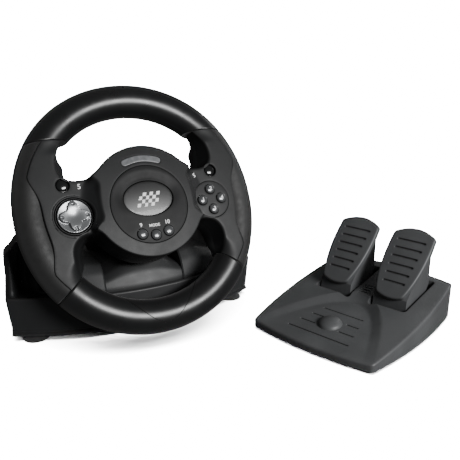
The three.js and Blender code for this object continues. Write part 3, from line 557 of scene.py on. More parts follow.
def level_seam(turn):
    """Angle at which a line along the rim crosses the level seam under the top grip."""
    angle = math.radians(40)
    for _ in range(8):
        radius = rim_radius(angle) + RIM_HALF_WIDTH * math.cos(turn)
        angle = math.asin((TOP_SEAM_Y + SEAM) / radius)
    return angle


END_ROUNDING = [(0.0, 0.9), (0.25, 0.4), (0.8, 0.08), (1.6, 0.0)]   # past a grip's end in mm, inset in mm


def rim_stations(along):
    """Places along a grip as (share of its length, mm past that, inset), with its two ends rounded."""
    first = [(0, shift, inset) for shift, inset in END_ROUNDING]
    last = [(1, -shift, inset) for shift, inset in reversed(END_ROUNDING)]
    return first + [(k / along, 0, 0) for k in range(1, along)] + last


def grip_rows(start_at, stop_at, around, along):
    """Rows round the rim's section from one seam to the other."""
    rows = []
    for share, shift, inset in rim_stations(along):
        row = []
        for i in range(around):
            turn = TAU * i / around
            start, stop = start_at(turn), stop_at(turn)
            step = math.copysign(shift / RIM_RADIUS, (stop - start) * shift)
            row.append(rim_point(start + (stop - start) * share + step, turn, inset))
        rows.append(row)
    return rows


def make_top_grip():
    rows = grip_rows(level_seam, lambda turn: math.pi - level_seam(turn), 56, 120)
    add_mesh("rim_grip_top", *skin(rows, caps=True), WHEEL, "wheel", "grip_soft", replaces=["top_grip"])


SEAM_TIP, SEAM_SPREAD = math.radians(64), math.radians(26)


def arm_angle(turn):
    """Half the angle between the two arms of the V-shaped seam, at a turn round the section: 0 at its tip."""
    from_front = abs(math.remainder(turn, TAU))
    return SEAM_SPREAD * max(0.0, (from_front - SEAM_TIP) / (math.pi - SEAM_TIP)) ** 0.8


def make_bottom_grip():
    """The lower grip, with a V-shaped seam pressed into its middle."""
    seam = [(-1.5, 0.0), (-0.55, 0.0), (-0.3, 0.5), (0.0, 0.8), (0.3, 0.5), (0.55, 0.0), (1.5, 0.0)]
    around, along = 72, 44
    start, stop = LOW_SEAM - SEAM / RIM_RADIUS, -math.pi - LOW_SEAM + SEAM / RIM_RADIUS
    tip_gap = 2.2 / RIM_RADIUS
    stations = [("start", shift, inset) for shift, inset in END_ROUNDING]
    stations += [("right", k / along, 0) for k in range(1, along)]
    stations += [("right_arm", shift, depth) for shift, depth in seam]
    stations += [("middle", k / 8, 0) for k in range(1, 8)]
    stations += [("left_arm", shift, depth) for shift, depth in seam]
    stations += [("left", k / along, 0) for k in range(1, along)]
    stations += [("stop", -shift, inset) for shift, inset in reversed(END_ROUNDING)]
    rows = []
    for kind, at, inset in stations:
        row = []
        for i in range(around):
            turn = TAU * i / around
            half = arm_angle(turn)
            pressed = 1.0 if half > 0 else 0.0
            right, left = -math.pi / 2 + half + tip_gap, -math.pi / 2 - half - tip_gap
            angle = {
                "start": start - at / RIM_RADIUS,
                "right": start + (right - start) * at,
                "right_arm": right - at / RIM_RADIUS,
                "middle": right + (left - right) * at,
                "left_arm": left - at / RIM_RADIUS,
                "left": left + (stop - left) * at,
                "stop": stop - at / RIM_RADIUS,
            }[kind]
            depth = inset * pressed if kind.endswith("arm") else inset
            row.append(rim_point(angle, turn, depth))
        rows.append(row)
    vertices, faces = skin(rows, caps=True)
    add_mesh("rim_grip_bottom", vertices, [face[::-1] for face in faces], WHEEL, "wheel", "grip_soft",
             replaces=["bottom_grip"])


def side_grip_rows(side):
    """Rows of the D-shaped section outside the side plate, from the low seam to the top one."""
    around, along, lip = 34, 110, 0.35
    stations = rim_stations(along)
    rows = []
    for share, shift, inset in stations:
        row = []
        for i in range(around + 1):
            stop = math.asin((TOP_SEAM_Y - SEAM) / PLATE_RADIUS)
            for _ in range(6):
                reach = math.acos((float(plate_edge(stop)) + lip - rim_radius(stop)) / RIM_HALF_WIDTH)
                turn = reach * (2 * i / around - 1)
                radius = rim_radius(stop) + (RIM_HALF_WIDTH - inset) * math.cos(turn)
                stop = math.asin((TOP_SEAM_Y - SEAM) / radius)
            start = LOW_SEAM + SEAM / RIM_RADIUS
            angle = start + (stop - start) * share + shift / RIM_RADIUS
            reach = math.acos((float(plate_edge(angle)) + lip - rim_radius(angle)) / RIM_HALF_WIDTH)
            x, y, z = rim_point(angle, reach * (2 * i / around - 1), inset)
            row.append((side * x, y, z))
        rows.append(row)
    return rows


def make_side_grip(side, word):
    vertices, faces = skin(side_grip_rows(side), caps=True)
    if side > 0:
        faces = [face[::-1] for face in faces]
    add_mesh(f"thumb_grip_{word}", vertices, faces, WHEEL, "wheel", "side_grip_rubber",
             replaces=[f"{word}_side_grip"])


# ---- Wheel shells -------------------------------------------------------------------------------

HUB_Y, HUB_RADIUS, HUB_FACE_RADIUS = -1.2, 56.5, 51.5
FACE_Z, BACK_Z, SPLIT_Z = -2.0, -37.0, -20.0
SPLIT_GAP = 0.15                                # from the split to the foot of either shell
SPOKE_TOP, SPOKE_LOW = 29.0, -24.7
DISC_Y, DISC_RADIUS = -5.4, 39.0
PAD_X, PAD_Y = 71.5, -6.1
DISH_RADIUS, BUTTON_PLATE_RADIUS = 18.2, 19.7
GROOVE_DEPTH, GROOVE_HALF_WIDTH = 0.35, 0.55    # of the ring round the dish
CORNER_X, CORNER_Y, CORNER_RADIUS = 77.0, 25.1, 6.6
LENS_RADIUS, LENS_HALF_WIDTH, LENS_HALF_ANGLE = 46.4, 3.4, 21.4


def half_plan():
    """Right half of the outline of hub, spoke and side plate, from six o'clock to twelve."""
    low_turn = math.degrees(math.asin((SPOKE_LOW - HUB_Y) / HUB_RADIUS))
    points = arc(0, HUB_Y, HUB_RADIUS, -90, low_turn)
    points += arc(60, SPOKE_LOW - 17.3, 17.3, 90, -6)
    low_end = (96 * math.cos(LOW_SEAM), 96 * math.sin(LOW_SEAM))
    points += bend(points[-1], (77.5, -54), low_end)
    outer_top = math.asin(TOP_SEAM_Y / PLATE_RADIUS)
    steps = 110
    for k in range(steps + 1):
        turn = LOW_SEAM + (outer_top - LOW_SEAM) * k / steps
        edge = float(plate_edge(turn))
        points.append((edge * math.cos(turn), edge * math.sin(turn)))
    points.append((69, TOP_SEAM_Y))
    points += bend((69, TOP_SEAM_Y), (79.5, 58), (80, SPOKE_TOP + 14))
    points += arc(66, SPOKE_TOP + 14, 14, 0, -90)
    points += bend((58, SPOKE_TOP), (48.8, SPOKE_TOP), (42.0, 36.6))
    points += arc(0, HUB_Y, HUB_RADIUS, 42, 90)[1:]
    return points


def on_seam(loop):
    """Which points of the wheel's plan lie on the seams with the grips, corners included."""
    x, y = np.abs(loop[:, 0]), loop[:, 1]
    top = (y > TOP_SEAM_Y - 0.05) & (x > 60)
    angle = np.arctan2(y, x)
    low = (np.abs(angle - LOW_SEAM) < 0.006) & (x > 60)
    return top | low


def by_side_grip(loop):
    """Which points of the wheel's plan lie along the side grips."""
    return (np.hypot(loop[:, 0], loop[:, 1]) > 97.5) & (np.abs(loop[:, 0]) > 60)


def wheel_plan():
    right = half_plan()
    left = [(-x, y) for x, y in reversed(right[1:-1])]
    loop = even_loop(right + left, 1.5)
    return relaxed(loop, 14, on_seam(loop) | by_side_grip(loop))


def side_lean(loop):
    """How the inner edges of the side plates lean in towards the hub, as a unit (x, y) step per point."""
    x, y = np.abs(loop[:, 0]), loop[:, 1]
    reach = smoothstep((x - 50) / 20) * (smoothstep((y - 24) / 6) + smoothstep((-20 - y) / 6))
    inner = 1 - smoothstep((np.hypot(x, y) - 93) / 7)
    reach = reach * inner * (1 - 0.6 * smoothstep((y - 50) / 20)) * (1 - 0.5 * smoothstep((-48 - y) / 14))
    return np.column_stack([-np.sign(loop[:, 0]) * reach, np.zeros(len(loop))])


def tongue(loop):
    """Step of the foot of a plate's wall towards the side grip, so that no light passes their seam."""
    return -0.3 * by_side_grip(loop)[:, None] * inward(loop)


def near_seam(x, y):
    """1 at a seam with the top or bottom grip, falling to 0 at 15 mm from it."""
    x = np.abs(x)
    top = smoothstep(1 - (TOP_SEAM_Y - y) / 15) * (x > 60)
    low = smoothstep(1 - (np.arctan2(y, x) - LOW_SEAM) * np.hypot(x, y) / 15) * (x > 55) * (y < 0)
    return np.maximum(top, low)


def hub_dome(x, y):
    """Height of the hub's shallow dome."""
    return 11.3 - 2.3 * (x * x + (y + 3) ** 2) / HUB_FACE_RADIUS ** 2


def front_height(x, y):
    """Top of the front shell: the hub's dome, the slope down the spokes, and plates that meet the rim."""
    from_hub = np.hypot(x, y - HUB_Y)
    spoke = smoothstep((np.abs(x) - 38) / 12) * smoothstep((30 - y) / 12) * smoothstep((y + 24) / 14)
    hub = smoothstep((61.5 + 3 * spoke - from_hub) / (3 + 18.5 * spoke))
    crown = -0.9 * ((np.abs(x) - 74) / 30) ** 2 - 0.5 * ((y - 5) / 45) ** 2
    plain = FACE_Z + crown
    seam = near_seam(x, y)
    plain = plain * (1 - seam) + (rim_front(x, y) + 0.25) * seam
    z = plain * (1 - hub) + hub_dome(x, y) * hub
    from_groove = np.abs(np.hypot(x + PAD_X, y - PAD_Y) - (DISH_RADIUS + 2.2))
    return z - GROOVE_DEPTH * smoothstep(1 - from_groove / GROOVE_HALF_WIDTH)


def lens_loop(grow):
    """A bar bent round the hub disc, with round ends, wider than the lens by grow on each side."""
    step = 1.0
    half = LENS_HALF_WIDTH + grow
    low, high = 90 - LENS_HALF_ANGLE, 90 + LENS_HALF_ANGLE
    ends = []
    for turn in (math.radians(high), math.radians(low)):
        ends.append((LENS_RADIUS * math.cos(turn), DISC_Y + LENS_RADIUS * math.sin(turn)))
    points = arc(0, DISC_Y, LENS_RADIUS + half, low, high, step)
    points += arc(*ends[0], half, high, high + 180, step)
    points += arc(0, DISC_Y, LENS_RADIUS - half, high, low, step)
    points += arc(*ends[1], half, low + 180, low + 360, step)
    return even_loop(points, step)


def ring_zone(cx, cy, radius, pitch):
    return (cx - radius, cx + radius, cy - radius, cy + radius, pitch)


def make_front_shell():
    plan = wheel_plan()
    seams = on_seam(plan)
    from_hub = np.hypot(plan[:, 0], plan[:, 1] - HUB_Y)
    edge = np.where(by_side_grip(plan), 0.8, 2.6)
    edge = np.where(seams, 0.35, np.where(from_hub < HUB_RADIUS + 2, 1.2, edge))
    for _ in range(3):
        edge = np.where(seams, edge, (edge * 2 + np.roll(edge, 1) + np.roll(edge, -1)) / 4)
    low = SPLIT_Z + SPLIT_GAP
    holes = [
        (circle(0, DISC_Y, DISC_RADIUS + 0.25)[::-1], 0.45, 4.0),
        (lens_loop(0.25)[::-1], 0.35, 5.0),
        (circle(-PAD_X, PAD_Y, DISH_RADIUS + 0.2, 1.0)[::-1], 0.9, low),
        (circle(PAD_X, PAD_Y, BUTTON_PLATE_RADIUS + 0.15, 1.0)[::-1], 0.4, low),
        (circle(-CORNER_X, CORNER_Y, CORNER_RADIUS, 0.8)[::-1], 0.7, low),
        (circle(CORNER_X, CORNER_Y, CORNER_RADIUS, 0.8)[::-1], 0.7, low),
    ]
    dense = [
        (-62, 62, HUB_Y - 62, HUB_Y + 62, 1.5),
        ring_zone(-PAD_X, PAD_Y, 23, 0.55),
    ]
    foot = 5.5 * side_lean(plan) + tongue(plan)
    parts = plate(plan, front_height, low, holes, edge, 2.2, dense, foot=foot)
    add_mesh("shell_front", *parts, WHEEL, "wheel", "shell_plastic", sharp=50, replaces=["wheel_front_shell"])


def rear_height(x, y):
    """Back of the rear shell, in the frame that looks at it from behind."""
    from_hub = np.hypot(x, y - HUB_Y)
    drum = smoothstep((50 - from_hub) / 10)
    return -BACK_Z - 2.2 * (1 - drum) - 6 * near_seam(x, y)


def make_rear_shell():
    """The rear half. Its openings are narrower than the front's, so its walls slope."""
    plan = wheel_plan()
    lean = side_lean(plan)
    outline = ((plan + 11 * lean) * (-1, 1))[::-1]
    foot = (-5.5 * lean * (-1, 1))[::-1] + tongue(outline)
    seams = on_seam(plan)[::-1]
    edge = np.where(seams, 0.4, np.where(by_side_grip(plan)[::-1], 0.8, 3.5))
    low = -SPLIT_Z + SPLIT_GAP
    shaft_hole = (circle(0, 0, 7)[::-1], 0.5, low)
    parts = plate(outline, rear_height, low, [shaft_hole], edge, 3.0, foot=foot)
    add_mesh("shell_rear", *parts, BEHIND_WHEEL, "wheel", "shell_plastic", sharp=50,
             replaces=["wheel_rear_shell"])


# ---- Hub face and controls ----------------------------------------------------------------------

BADGE_Y, BADGE_HALF_WIDTH, BADGE_HALF_HEIGHT = 0.3, 26.0, 18.4
SIDE_BUTTON = (13.4, -34.3)
MODE_BUTTON = (0.0, -36.7)
BUTTON_RADIUS = 5.0
FACE_PITCH = 10.7
DISC_FOOT_Z, BUTTON_PLATE_FOOT_Z = 4.2, -5.8
# Heights of a button's top and of the flange under it
FACE_BUTTON_Z = (1.4, -6.3)
CORNER_BUTTON_Z = (-2.4, -5.2)
HUB_BUTTON_Z = (12.4, 5.4)
NUMBER_SIZE, WORD_SIZE, SHELL_NUMBER_SIZE = 5.4, 3.8, 7.0
DPAD_RADIUS, DIMPLE_REACH = 15.9, 11.8


def oval(half_width, half_height, cy):
    count = int(TAU * half_width / 1.2)
    return np.array([
        (half_width * math.cos(TAU * i / count), cy + half_height * math.sin(TAU * i / count))
        for i in range(count)
    ])


def disc_height(x, y):
    """The hub's disc: the same dome, sinking softly into the badge's oval."""
    across = np.hypot(x / BADGE_HALF_WIDTH, (y - BADGE_Y - 1.5) / (BADGE_HALF_HEIGHT + 1.5))
    sink = 1.9 * smoothstep((1.42 - across) / 0.5)
    return hub_dome(x, y) - sink * smoothstep((y + 16) / 26)


def make_hub_disc():
    holes = [(circle(x, y, BUTTON_RADIUS + 0.35, 0.7)[::-1], 0.5, DISC_FOOT_Z)
             for x, y in ((-SIDE_BUTTON[0], SIDE_BUTTON[1]), MODE_BUTTON, SIDE_BUTTON)]
    badge_hole = oval(BADGE_HALF_WIDTH - 0.6, BADGE_HALF_HEIGHT - 0.6, BADGE_Y)
    holes.append((badge_hole[::-1], 0.7, DISC_FOOT_Z))
    parts = plate(circle(0, DISC_Y, DISC_RADIUS), disc_height, DISC_FOOT_Z, holes, 0.45, 1.3)
    add_mesh("hub_face_disc", *parts, WHEEL, "wheel", "gloss_black", HUB_SKIN, replaces=["hub_disc"])


def badge_height(x, y):
    across = (x / BADGE_HALF_WIDTH) ** 2 + ((y - BADGE_Y) / BADGE_HALF_HEIGHT) ** 2
    return 8.3 + 1.1 * (1 - across)


def make_badge():
    parts = plate(oval(BADGE_HALF_WIDTH - 0.9, BADGE_HALF_HEIGHT - 0.9, BADGE_Y), badge_height, 5.0, edge=0.6)
    add_mesh("badge_oval", *parts, WHEEL, "wheel", "badge_gloss", replaces=["hub_badge"])


def make_emblem():
    """A generic chequered flag: leaning squares, raised a little from the badge."""
    columns, rows, size, lean = 6, 4, 3.5, 0.35
    parts = []

    def height(x, y):
        return badge_height(x, y) + 0.14

    for c in range(columns):
        for r in range(rows):
            if (c + r) % 2:
                continue
            x0, y0 = (c - columns / 2) * size, (r - rows / 2) * size
            corners = [(x0, y0), (x0 + size, y0), (x0 + size, y0 + size), (x0, y0 + size)]
            loop = even_loop([(x + lean * y, BADGE_Y - 1.0 + y) for x, y in corners], 0.9)
            parts.append(plate(loop, height, 8.0, edge=0.06, spacing=1.0, steps=2))
    add_mesh("badge_emblem", *joined(*parts), WHEEL, "wheel", "badge_gloss", PRINT)


def make_lens():
    parts = plate(lens_loop(-0.05), lambda x, y: hub_dome(x, y) + 0.05, 5.2, edge=0.7, spacing=1.0)
    add_mesh("light_bar", *parts, WHEEL, "wheel", "lens_grey", replaces=["light_lens"])


def button_profile(radius, top_z, flange_z):
    """A cap with straight sides and a domed top, over its hidden flange."""
    dome = [
        (radius * math.cos(a), top_z - 1.7 + 1.7 * math.sin(a))
        for a in (math.radians(10 * k) for k in range(10))
    ]
    flange = [(0, flange_z - 1), (radius + 0.5, flange_z - 1), (radius + 0.5, flange_z), (radius, flange_z)]
    return flange + dome


def make_button(node, x, y, radius, heights, material=None):
    parts = turned(button_profile(radius, *heights), 48, (x, y))
    add_mesh(f"{node}_cap", *parts, WHEEL, node, "gloss_black", material, replaces=[node])


def make_label(name, words, x, y, z, size, body):
    """Printed words or numbers, as a thin mesh."""
    curve = bpy.data.curves.new(name, "FONT")
    curve.body = words
    curve.size = size * MM
    curve.align_x, curve.align_y = "CENTER", "CENTER"
    curve.extrude = 0.05 * MM
    curve.offset = 0.1 * MM
    curve.resolution_u = 3
    lettering = placed(name, curve)
    bpy.context.view_layer.update()
    flat = bpy.data.meshes.new_from_object(lettering.evaluated_get(bpy.context.evaluated_depsgraph_get()))
    bpy.data.objects.remove(lettering)
    flat.materials.clear()
    flat.materials.append(PRINT)
    piece = placed(name, flat)
    piece.matrix_world = WHEEL @ Matrix.Translation(Vector((x, y, z)) * MM)
    bpy.context.view_layer.update()
    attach(piece, body)


def make_controls():
    """The wheel's buttons and their generic printed numbers."""
    face = {1: (0, 1, "2"), 2: (1, 0, "4"), 3: (0, -1, "3"), 4: (-1, 0, "1")}
    for number, (dx, dy, words) in face.items():
        x, y = PAD_X + dx * FACE_PITCH, PAD_Y + dy * FACE_PITCH
        make_button(f"face_button_{number}", x, y, BUTTON_RADIUS, FACE_BUTTON_Z)
        z = FACE_BUTTON_Z[0] + 0.02
        make_label(f"print_{words}", words, x + 0.2, y, z, NUMBER_SIZE, f"face_button_{number}")
    for side, word in ((-1, "left"), (1, "right")):
        x, radius = side * CORNER_X, CORNER_RADIUS - 1
        make_button(f"corner_button_{word}", x, CORNER_Y, radius, CORNER_BUTTON_Z, CORNER_GLOSS)
        x, y = side * SIDE_BUTTON[0], SIDE_BUTTON[1]
        make_button(f"hub_button_{word}", x, y, BUTTON_RADIUS, HUB_BUTTON_Z)
    make_button("hub_button_mode", *MODE_BUTTON, BUTTON_RADIUS, HUB_BUTTON_Z)
    above = 8.6
    for words, x, y, size in (
        ("9", -SIDE_BUTTON[0], SIDE_BUTTON[1] + above, NUMBER_SIZE),
        ("MODE", 0, MODE_BUTTON[1] + above + 0.8, WORD_SIZE),
        ("10", SIDE_BUTTON[0], SIDE_BUTTON[1] + above, NUMBER_SIZE),
    ):
        make_label(f"print_{words}", words, x, y, float(disc_height(x, y)) + 0.12, size, "wheel")
    for words, x, y in (("5", -62.0, 21.9), ("6", 57.1, 20.9)):
        z = float(front_height(x, y)) + 0.3
        make_label(f"print_{words}", words, x, y, z, SHELL_NUMBER_SIZE, "wheel")


def make_button_plate():
    holes = []
    for dx, dy in ((0, 1), (1, 0), (0, -1), (-1, 0)):
        hole = circle(PAD_X + dx * FACE_PITCH, PAD_Y + dy * FACE_PITCH, BUTTON_RADIUS + 0.55, 0.7)
        holes.append((hole[::-1], 0.45, BUTTON_PLATE_FOOT_Z))

    def height(x, y):
        away = ((x - PAD_X) ** 2 + (y - PAD_Y) ** 2) / BUTTON_PLATE_RADIUS ** 2
        return FACE_Z + 0.75 - 0.6 * away

    outline = circle(PAD_X, PAD_Y, BUTTON_PLATE_RADIUS - 0.15, 1.0)
    parts = plate(outline, height, BUTTON_PLATE_FOOT_Z, holes, 0.5, 1.6)
    add_mesh("face_button_plate", *parts, WHEEL, "wheel", "shell_plastic", replaces=["button_plate"])


def make_dpad_dish():
    """A round bowl with a rolled lip."""
    outer = DISH_RADIUS - 0.15
    profile = [
        (6.2, -12), (outer, -12), (outer, -3.1), (outer - 0.4, -2.3), (outer - 0.8, -2.2),
        (outer - 1.2, -2.8), (outer - 1.5, -6.6), (outer - 3.2, -8.4), (outer - 6, -8.8), (6.2, -8.9),
        (6.2, -12),
    ]
    parts = turned(rounded(profile, 0.8), 96, (-PAD_X, PAD_Y))
    add_mesh("dpad_bowl", *parts, WHEEL, "wheel", "shell_plastic", DARK_SKIN, replaces=["dpad_dish"])


def make_dpad():
    """A round rocker: a hollowed four-armed star, lobes between its arms, and a dimple on each arm."""
    arms = [(math.cos(math.pi / 2 * k), math.sin(math.pi / 2 * k)) for k in range(4)]

    def star(x, y):
        """Positive inside the star, in mm."""
        a = np.arctan2(y, x)
        return 8.6 + 5.6 * np.abs(np.cos(2 * a)) ** 1.6 - np.hypot(x, y)

    def height(x, y):
        x, y = x + PAD_X, y - PAD_Y
        away = np.hypot(x, y)
        raised = smoothstep(star(x, y) / 1.3 + 0.5)
        hollow = -1.1 * (1 - smoothstep(away / 11))
        lobe = -2.6 + 0.17 * (away - 8)
        z = (1.2 + hollow) * raised + lobe * (1 - raised)
        for dx, dy in arms:
            spot = np.hypot(x - DIMPLE_REACH * dx, y - DIMPLE_REACH * dy)
            z = z - 1.3 * smoothstep((1.9 - spot) / 1.1)
        return z

    parts = plate(circle(-PAD_X, PAD_Y, DPAD_RADIUS, 0.6), height, -4.4, edge=0.8, spacing=0.5)
    boss = turned(rounded([(0, -6.9), (5, -6.9), (5, -4), (0, -4)], 0.3), 40, (-PAD_X, PAD_Y))
    add_mesh("dpad_rocker", *joined(parts, boss), WHEEL, "dpad", "gloss_black", DPAD_GREY,
             replaces=["dpad_cap"])


# ---- Paddles ------------------------------------------------------------------------------------

PADDLE_X, PADDLE_Z, LUG_Y = 40, -42.5, 14.5


def make_paddle(side, name):
    """A dished blade with a raised rim, and the barrel of its hinge."""
    end = LUG_Y - 0.4
    points = [(PADDLE_X, -end), (PADDLE_X + 4, -end)]
    points += bend((PADDLE_X + 4, -end), (56, -20), (70, -19))[1:]
    points += bend((70, -19), (77, 1), (70, 21))[1:]
    points += bend((70, 21), (56, 21), (PADDLE_X + 4, end))[1:] + [(PADDLE_X, end)]
    outline = relaxed(even_loop(points, 1.2), 3)

    def height(x, y):
        dish = smoothstep((11 - np.hypot((np.abs(x) - 60) * 0.9, y - 1)) / 9)
        return PADDLE_Z + 0.2 - 0.9 * dish

    if side < 0:
        outline = (outline * (-1, 1))[::-1]
    blade = plate(outline, height, PADDLE_Z - 2.3, edge=0.7, spacing=1.6)
    low_end = [(-end, 1.6), (-end + 0.4, 2.2), (-end + 1, 2.4)]
    rows = []
    for y, radius in [*low_end, (end - 1, 2.4), (end - 0.4, 2.2), (end, 1.6)]:
        rows.append([
            (side * PADDLE_X + radius * math.cos(TAU * i / 24), y, PADDLE_Z + radius * math.sin(TAU * i / 24))
            for i in range(24)
        ])
    barrel = skin(rows, caps=True)
    add_mesh(f"{name}_blade", *joined(blade, barrel), WHEEL, name, "shell_plastic", DARK_SKIN,
             replaces=[name])


def make_paddle_lugs():
    """The drilled ears on the rear shell that hold the paddles' pins."""
    for side, name in ((-1, "left"), (1, "right")):
        for end, place in ((-1, "low"), (1, "high")):
            middle = end * (LUG_Y + 1.5)
            rows = []
            for y in (middle - 1.4, middle - 1.1, middle + 1.1, middle + 1.4):
                trim = 0.4 if abs(y - middle) > 1.2 else 0
                half, low, high = 3 - trim, PADDLE_Z - 2.5 + trim, BACK_Z + 2
                arch = [(half * math.cos(a), low + 3 - trim + (3 - trim) * math.sin(a))
                        for a in (math.pi + math.pi * k / 12 for k in range(13))]
                ring = [(-half, high), *arch, (half, high)]
                rows.append([(side * PADDLE_X + x, y, z) for x, z in ring])
            add_mesh(f"paddle_lug_{name}_{place}", *skin(rows, caps=True), WHEEL, "wheel", "shell_plastic",
                     replaces=["wheel_rear_shell"])


# ---- Column and base ----------------------------------------------------------------------------

COLUMN_RADIUS, COLUMN_FRONT_Z, COLUMN_END_Z = 36, -49, -150
COLLAR_RADIUS = 49
BASE_HALF_WIDTH, BASE_TAPER, BASE_FRONT_Y, BASE_BOW, BASE_BACK_Y = 138, 18, -2.5, 37.5, 178
BASE_UNDER_Z, LIP_Z, BASE_DRAFT = 6, 48, 4.5
# Stations across a shoulder and across the saddle under the column: x, crease, top, set-back of the front.
SHOULDER_STATIONS = [
    (42, 64, 73, 0), (64, 64, 74, 0), (84, 62, 68, 0), (94, 60, 70, 14), (104, 58, 84, 26), (116, 58, 94, 28),
    (122, 56, 95, 24), (127, 52, 94, 4), (131, 52, 91, 0), (136, 52, 86, 0),
]
SADDLE_STATIONS = [
    (-44, 55, 58, 2), (-35, 58, 62, 2), (-24, 60, 69, 2), (-10, 61, 71, 2),
    (10, 61, 71, 2), (24, 60, 69, 2), (35, 58, 62, 2), (44, 55, 58, 2),
]


def base_front(x):
    return BASE_FRONT_Y + BASE_BOW * (x / BASE_HALF_WIDTH) ** 2


def taper_share(y):
    """How far the side has come in at y: 0 at the front corners, 1 at the back."""
    corner = base_front(BASE_HALF_WIDTH)
    return max(0.0, y - corner) / (BASE_BACK_Y - corner)


def base_plan():
    """The base's outline: bowed front, straight sides that taper to the back, rounded rear corners."""
    side, back = BASE_HALF_WIDTH, BASE_BACK_Y
    start, stop = side - BASE_TAPER * taper_share(back - 30), side - BASE_TAPER - 1
    points = [(x, float(base_front(x))) for x in np.linspace(-side, side, 90)]
    points += bend((start, back - 30), (stop, back), (stop - 22, back))
    points += bend((-stop + 22, back), (-stop, back), (-start, back - 30))
    return relaxed(even_loop(points, 2.0), 2)


def terrace(outline, steps):
    """Nested copies of the outline at [inset, z], with the first and the last one filled."""
    offset = inward(outline)
    rows = [np.column_stack([outline + offset * inset, np.full(len(outline), z)]) for inset, z in steps]
    return skin(rows, caps=True)


def make_base_tub():
    """The lower body, with its rounded lip and the ledge behind it."""
    low, lip = BASE_UNDER_Z, LIP_Z
    profile = [
        (2.4, low), (0.5, low), (0, low + 0.8), (0, 10.2), (0.5, 10.6), (0.5, 11.2), (0, 11.6),
        (0, lip - 2.2), (0.3, lip - 1), (1, lip - 0.3), (2.1, lip), (3.6, lip), (4.3, lip - 0.3),
        (4.8, lip - 1.2), (5.3, lip - 3.6), (6.4, lip - 4),
    ]
    drafted = [(inset + BASE_DRAFT * max(0.0, lip - 4 - z) / (lip - low), z) for inset, z in profile]
    add_mesh("base_tub", *terrace(base_plan(), drafted), BASE, "base", "base_plastic",
             replaces=["base_upper_shell"])


def body_section(x, stations, ease, inset, back_gap):
    """Section of the raised body at x, as (y, z) points rounded at its corners."""
    places = x + ease * np.linspace(-1, 1, 9)
    columns = list(zip(*stations))
    crease, top, set_back = (float(np.mean(np.interp(places, columns[0], values))) for values in columns[1:])
    front = base_front(x) + 9 + set_back + inset
    slope = (crease - LIP_Z) * 0.45
    back, low = BASE_BACK_Y - back_gap - inset, LIP_Z - 12
    corners = [
        (front, low), (front, LIP_Z - inset), (front + slope, crease - inset),
        (front + slope + 9, top - inset), (front + slope + 34, top - inset),
        (back - 6, LIP_Z + 6 - inset), (back, low),
    ]
    return rounded(corners, 3.2, 6)


def eased_stations(stations, count):
    """Places across the body as (x, inset), with the corners of its plan eased."""
    first, last = stations[0][0], stations[-1][0]
    inner = [(x, 0.0) for x in np.linspace(first + 2.0, last - 2.0, count)]
    return [(first, 2.5), (first + 0.6, 0.9), *inner, (last - 0.6, 0.9), (last, 2.5)]


def make_shoulder(side, name):
    first, last = SHOULDER_STATIONS[0][0], SHOULDER_STATIONS[-1][0]
    rows = []
    for x, inset in eased_stations(SHOULDER_STATIONS, 110):
        share = (x - first) / (last - first)
        section = body_section(x, SHOULDER_STATIONS, 1.6, inset, 12)
        rows.append([(side * (x - BASE_TAPER * share * taper_share(y)), y, z) for y, z in section])
    add_mesh(f"base_shoulder_{name}", *skin(rows, caps=True), BASE, "base", "base_plastic", sharp=32,
             replaces=["base_upper_shell"])


def make_saddle():
    """The low hump between the shoulders that carries the column."""
    rows = []
    for x, inset in eased_stations(SADDLE_STATIONS, 50):
        rows.append([(x, y, z) for y, z in body_section(x, SADDLE_STATIONS, 6.0, inset, 14)])
    add_mesh("base_saddle", *skin(rows, caps=True), BASE, "base", "base_plastic", sharp=32,
             replaces=["base_upper_shell"])


def make_column():
    """The tube that carries the shaft, with a shallow ring near each end, closed behind by a stepped cap."""
    r, front, end = COLUMN_RADIUS, COLUMN_FRONT_Z - 2.3, COLUMN_END_Z
    profile = [
        (0, end + 1.2), (r - 9, end + 1.2), (r - 8.4, end), (r, end), (r, end + 6), (r - 0.7, end + 6.4),
        (r - 0.7, end + 7.4), (r, end + 7.8), (r, front - 22), (r - 0.6, front - 21.6),
        (r - 0.6, front - 20.4), (r, front - 20), (r, front), (r - 2.5, front), (r - 2.5, end + 8),
        (0, end + 8),
    ]
    add_mesh("column_tube", *turned(rounded(profile, 1.2), 96), WHEEL, "base", "base_plastic",
             replaces=["base_upper_shell"])


def make_collar():
    """The bell-shaped shroud behind the hub. Its pale grey is painted light, standing in for the light that the
    hub's shadow keeps off it.
    """
    r, z, neck = COLLAR_RADIUS, COLUMN_FRONT_Z, COLUMN_RADIUS + 0.3
    profile = [
        (22, z - 2), (neck, z - 2), (neck, z - 14), (COLUMN_RADIUS + 2, z - 14), (r - 8, z - 10.5),
        (r - 4.6, z - 7.5), (r - 1.8, z - 4), (r - 0.3, z - 1), (r - 0.2, z + 0.4), (r - 1, z + 2),
        (r - 3, z + 2), (r - 3.6, z + 1.2), (r - 5, z + 1.2), (r - 5.6, z + 2), (22, z + 2), (22, z - 2),
    ]
    parts = turned(rounded(profile, 0.7), 128)
    add_mesh("column_shroud", *parts, WHEEL, "base", "shell_plastic", COLLAR_PAINTED_LIGHT,
             replaces=["column_collar"])


CUP_RADIUS = 13
CUP_PLACES = {"front": (112, 36), "rear": (100, 156)}


def make_cup(node, x, y):
    """A suction cup: thin flared skirt, ribbed neck and stem."""
    profile = [
        (0, 1.7), (9.6, 1.3), (10.6, 0.3), (CUP_RADIUS, 0.02), (CUP_RADIUS, 0.7), (8.5, 2.2), (5.4, 3.8),
        (5, 4.4), (4.5, 4.9), (5, 5.6), (4, 5.7), (4, 10.4), (0, 10.4),
    ]
    add_mesh(f"{node}_rubber", *turned(rounded(profile, 0.5), 64, (x, y)), BASE, "base", "foot_rubber",
             replaces=[node])


# ---- Pedal unit ---------------------------------------------------------------------------------

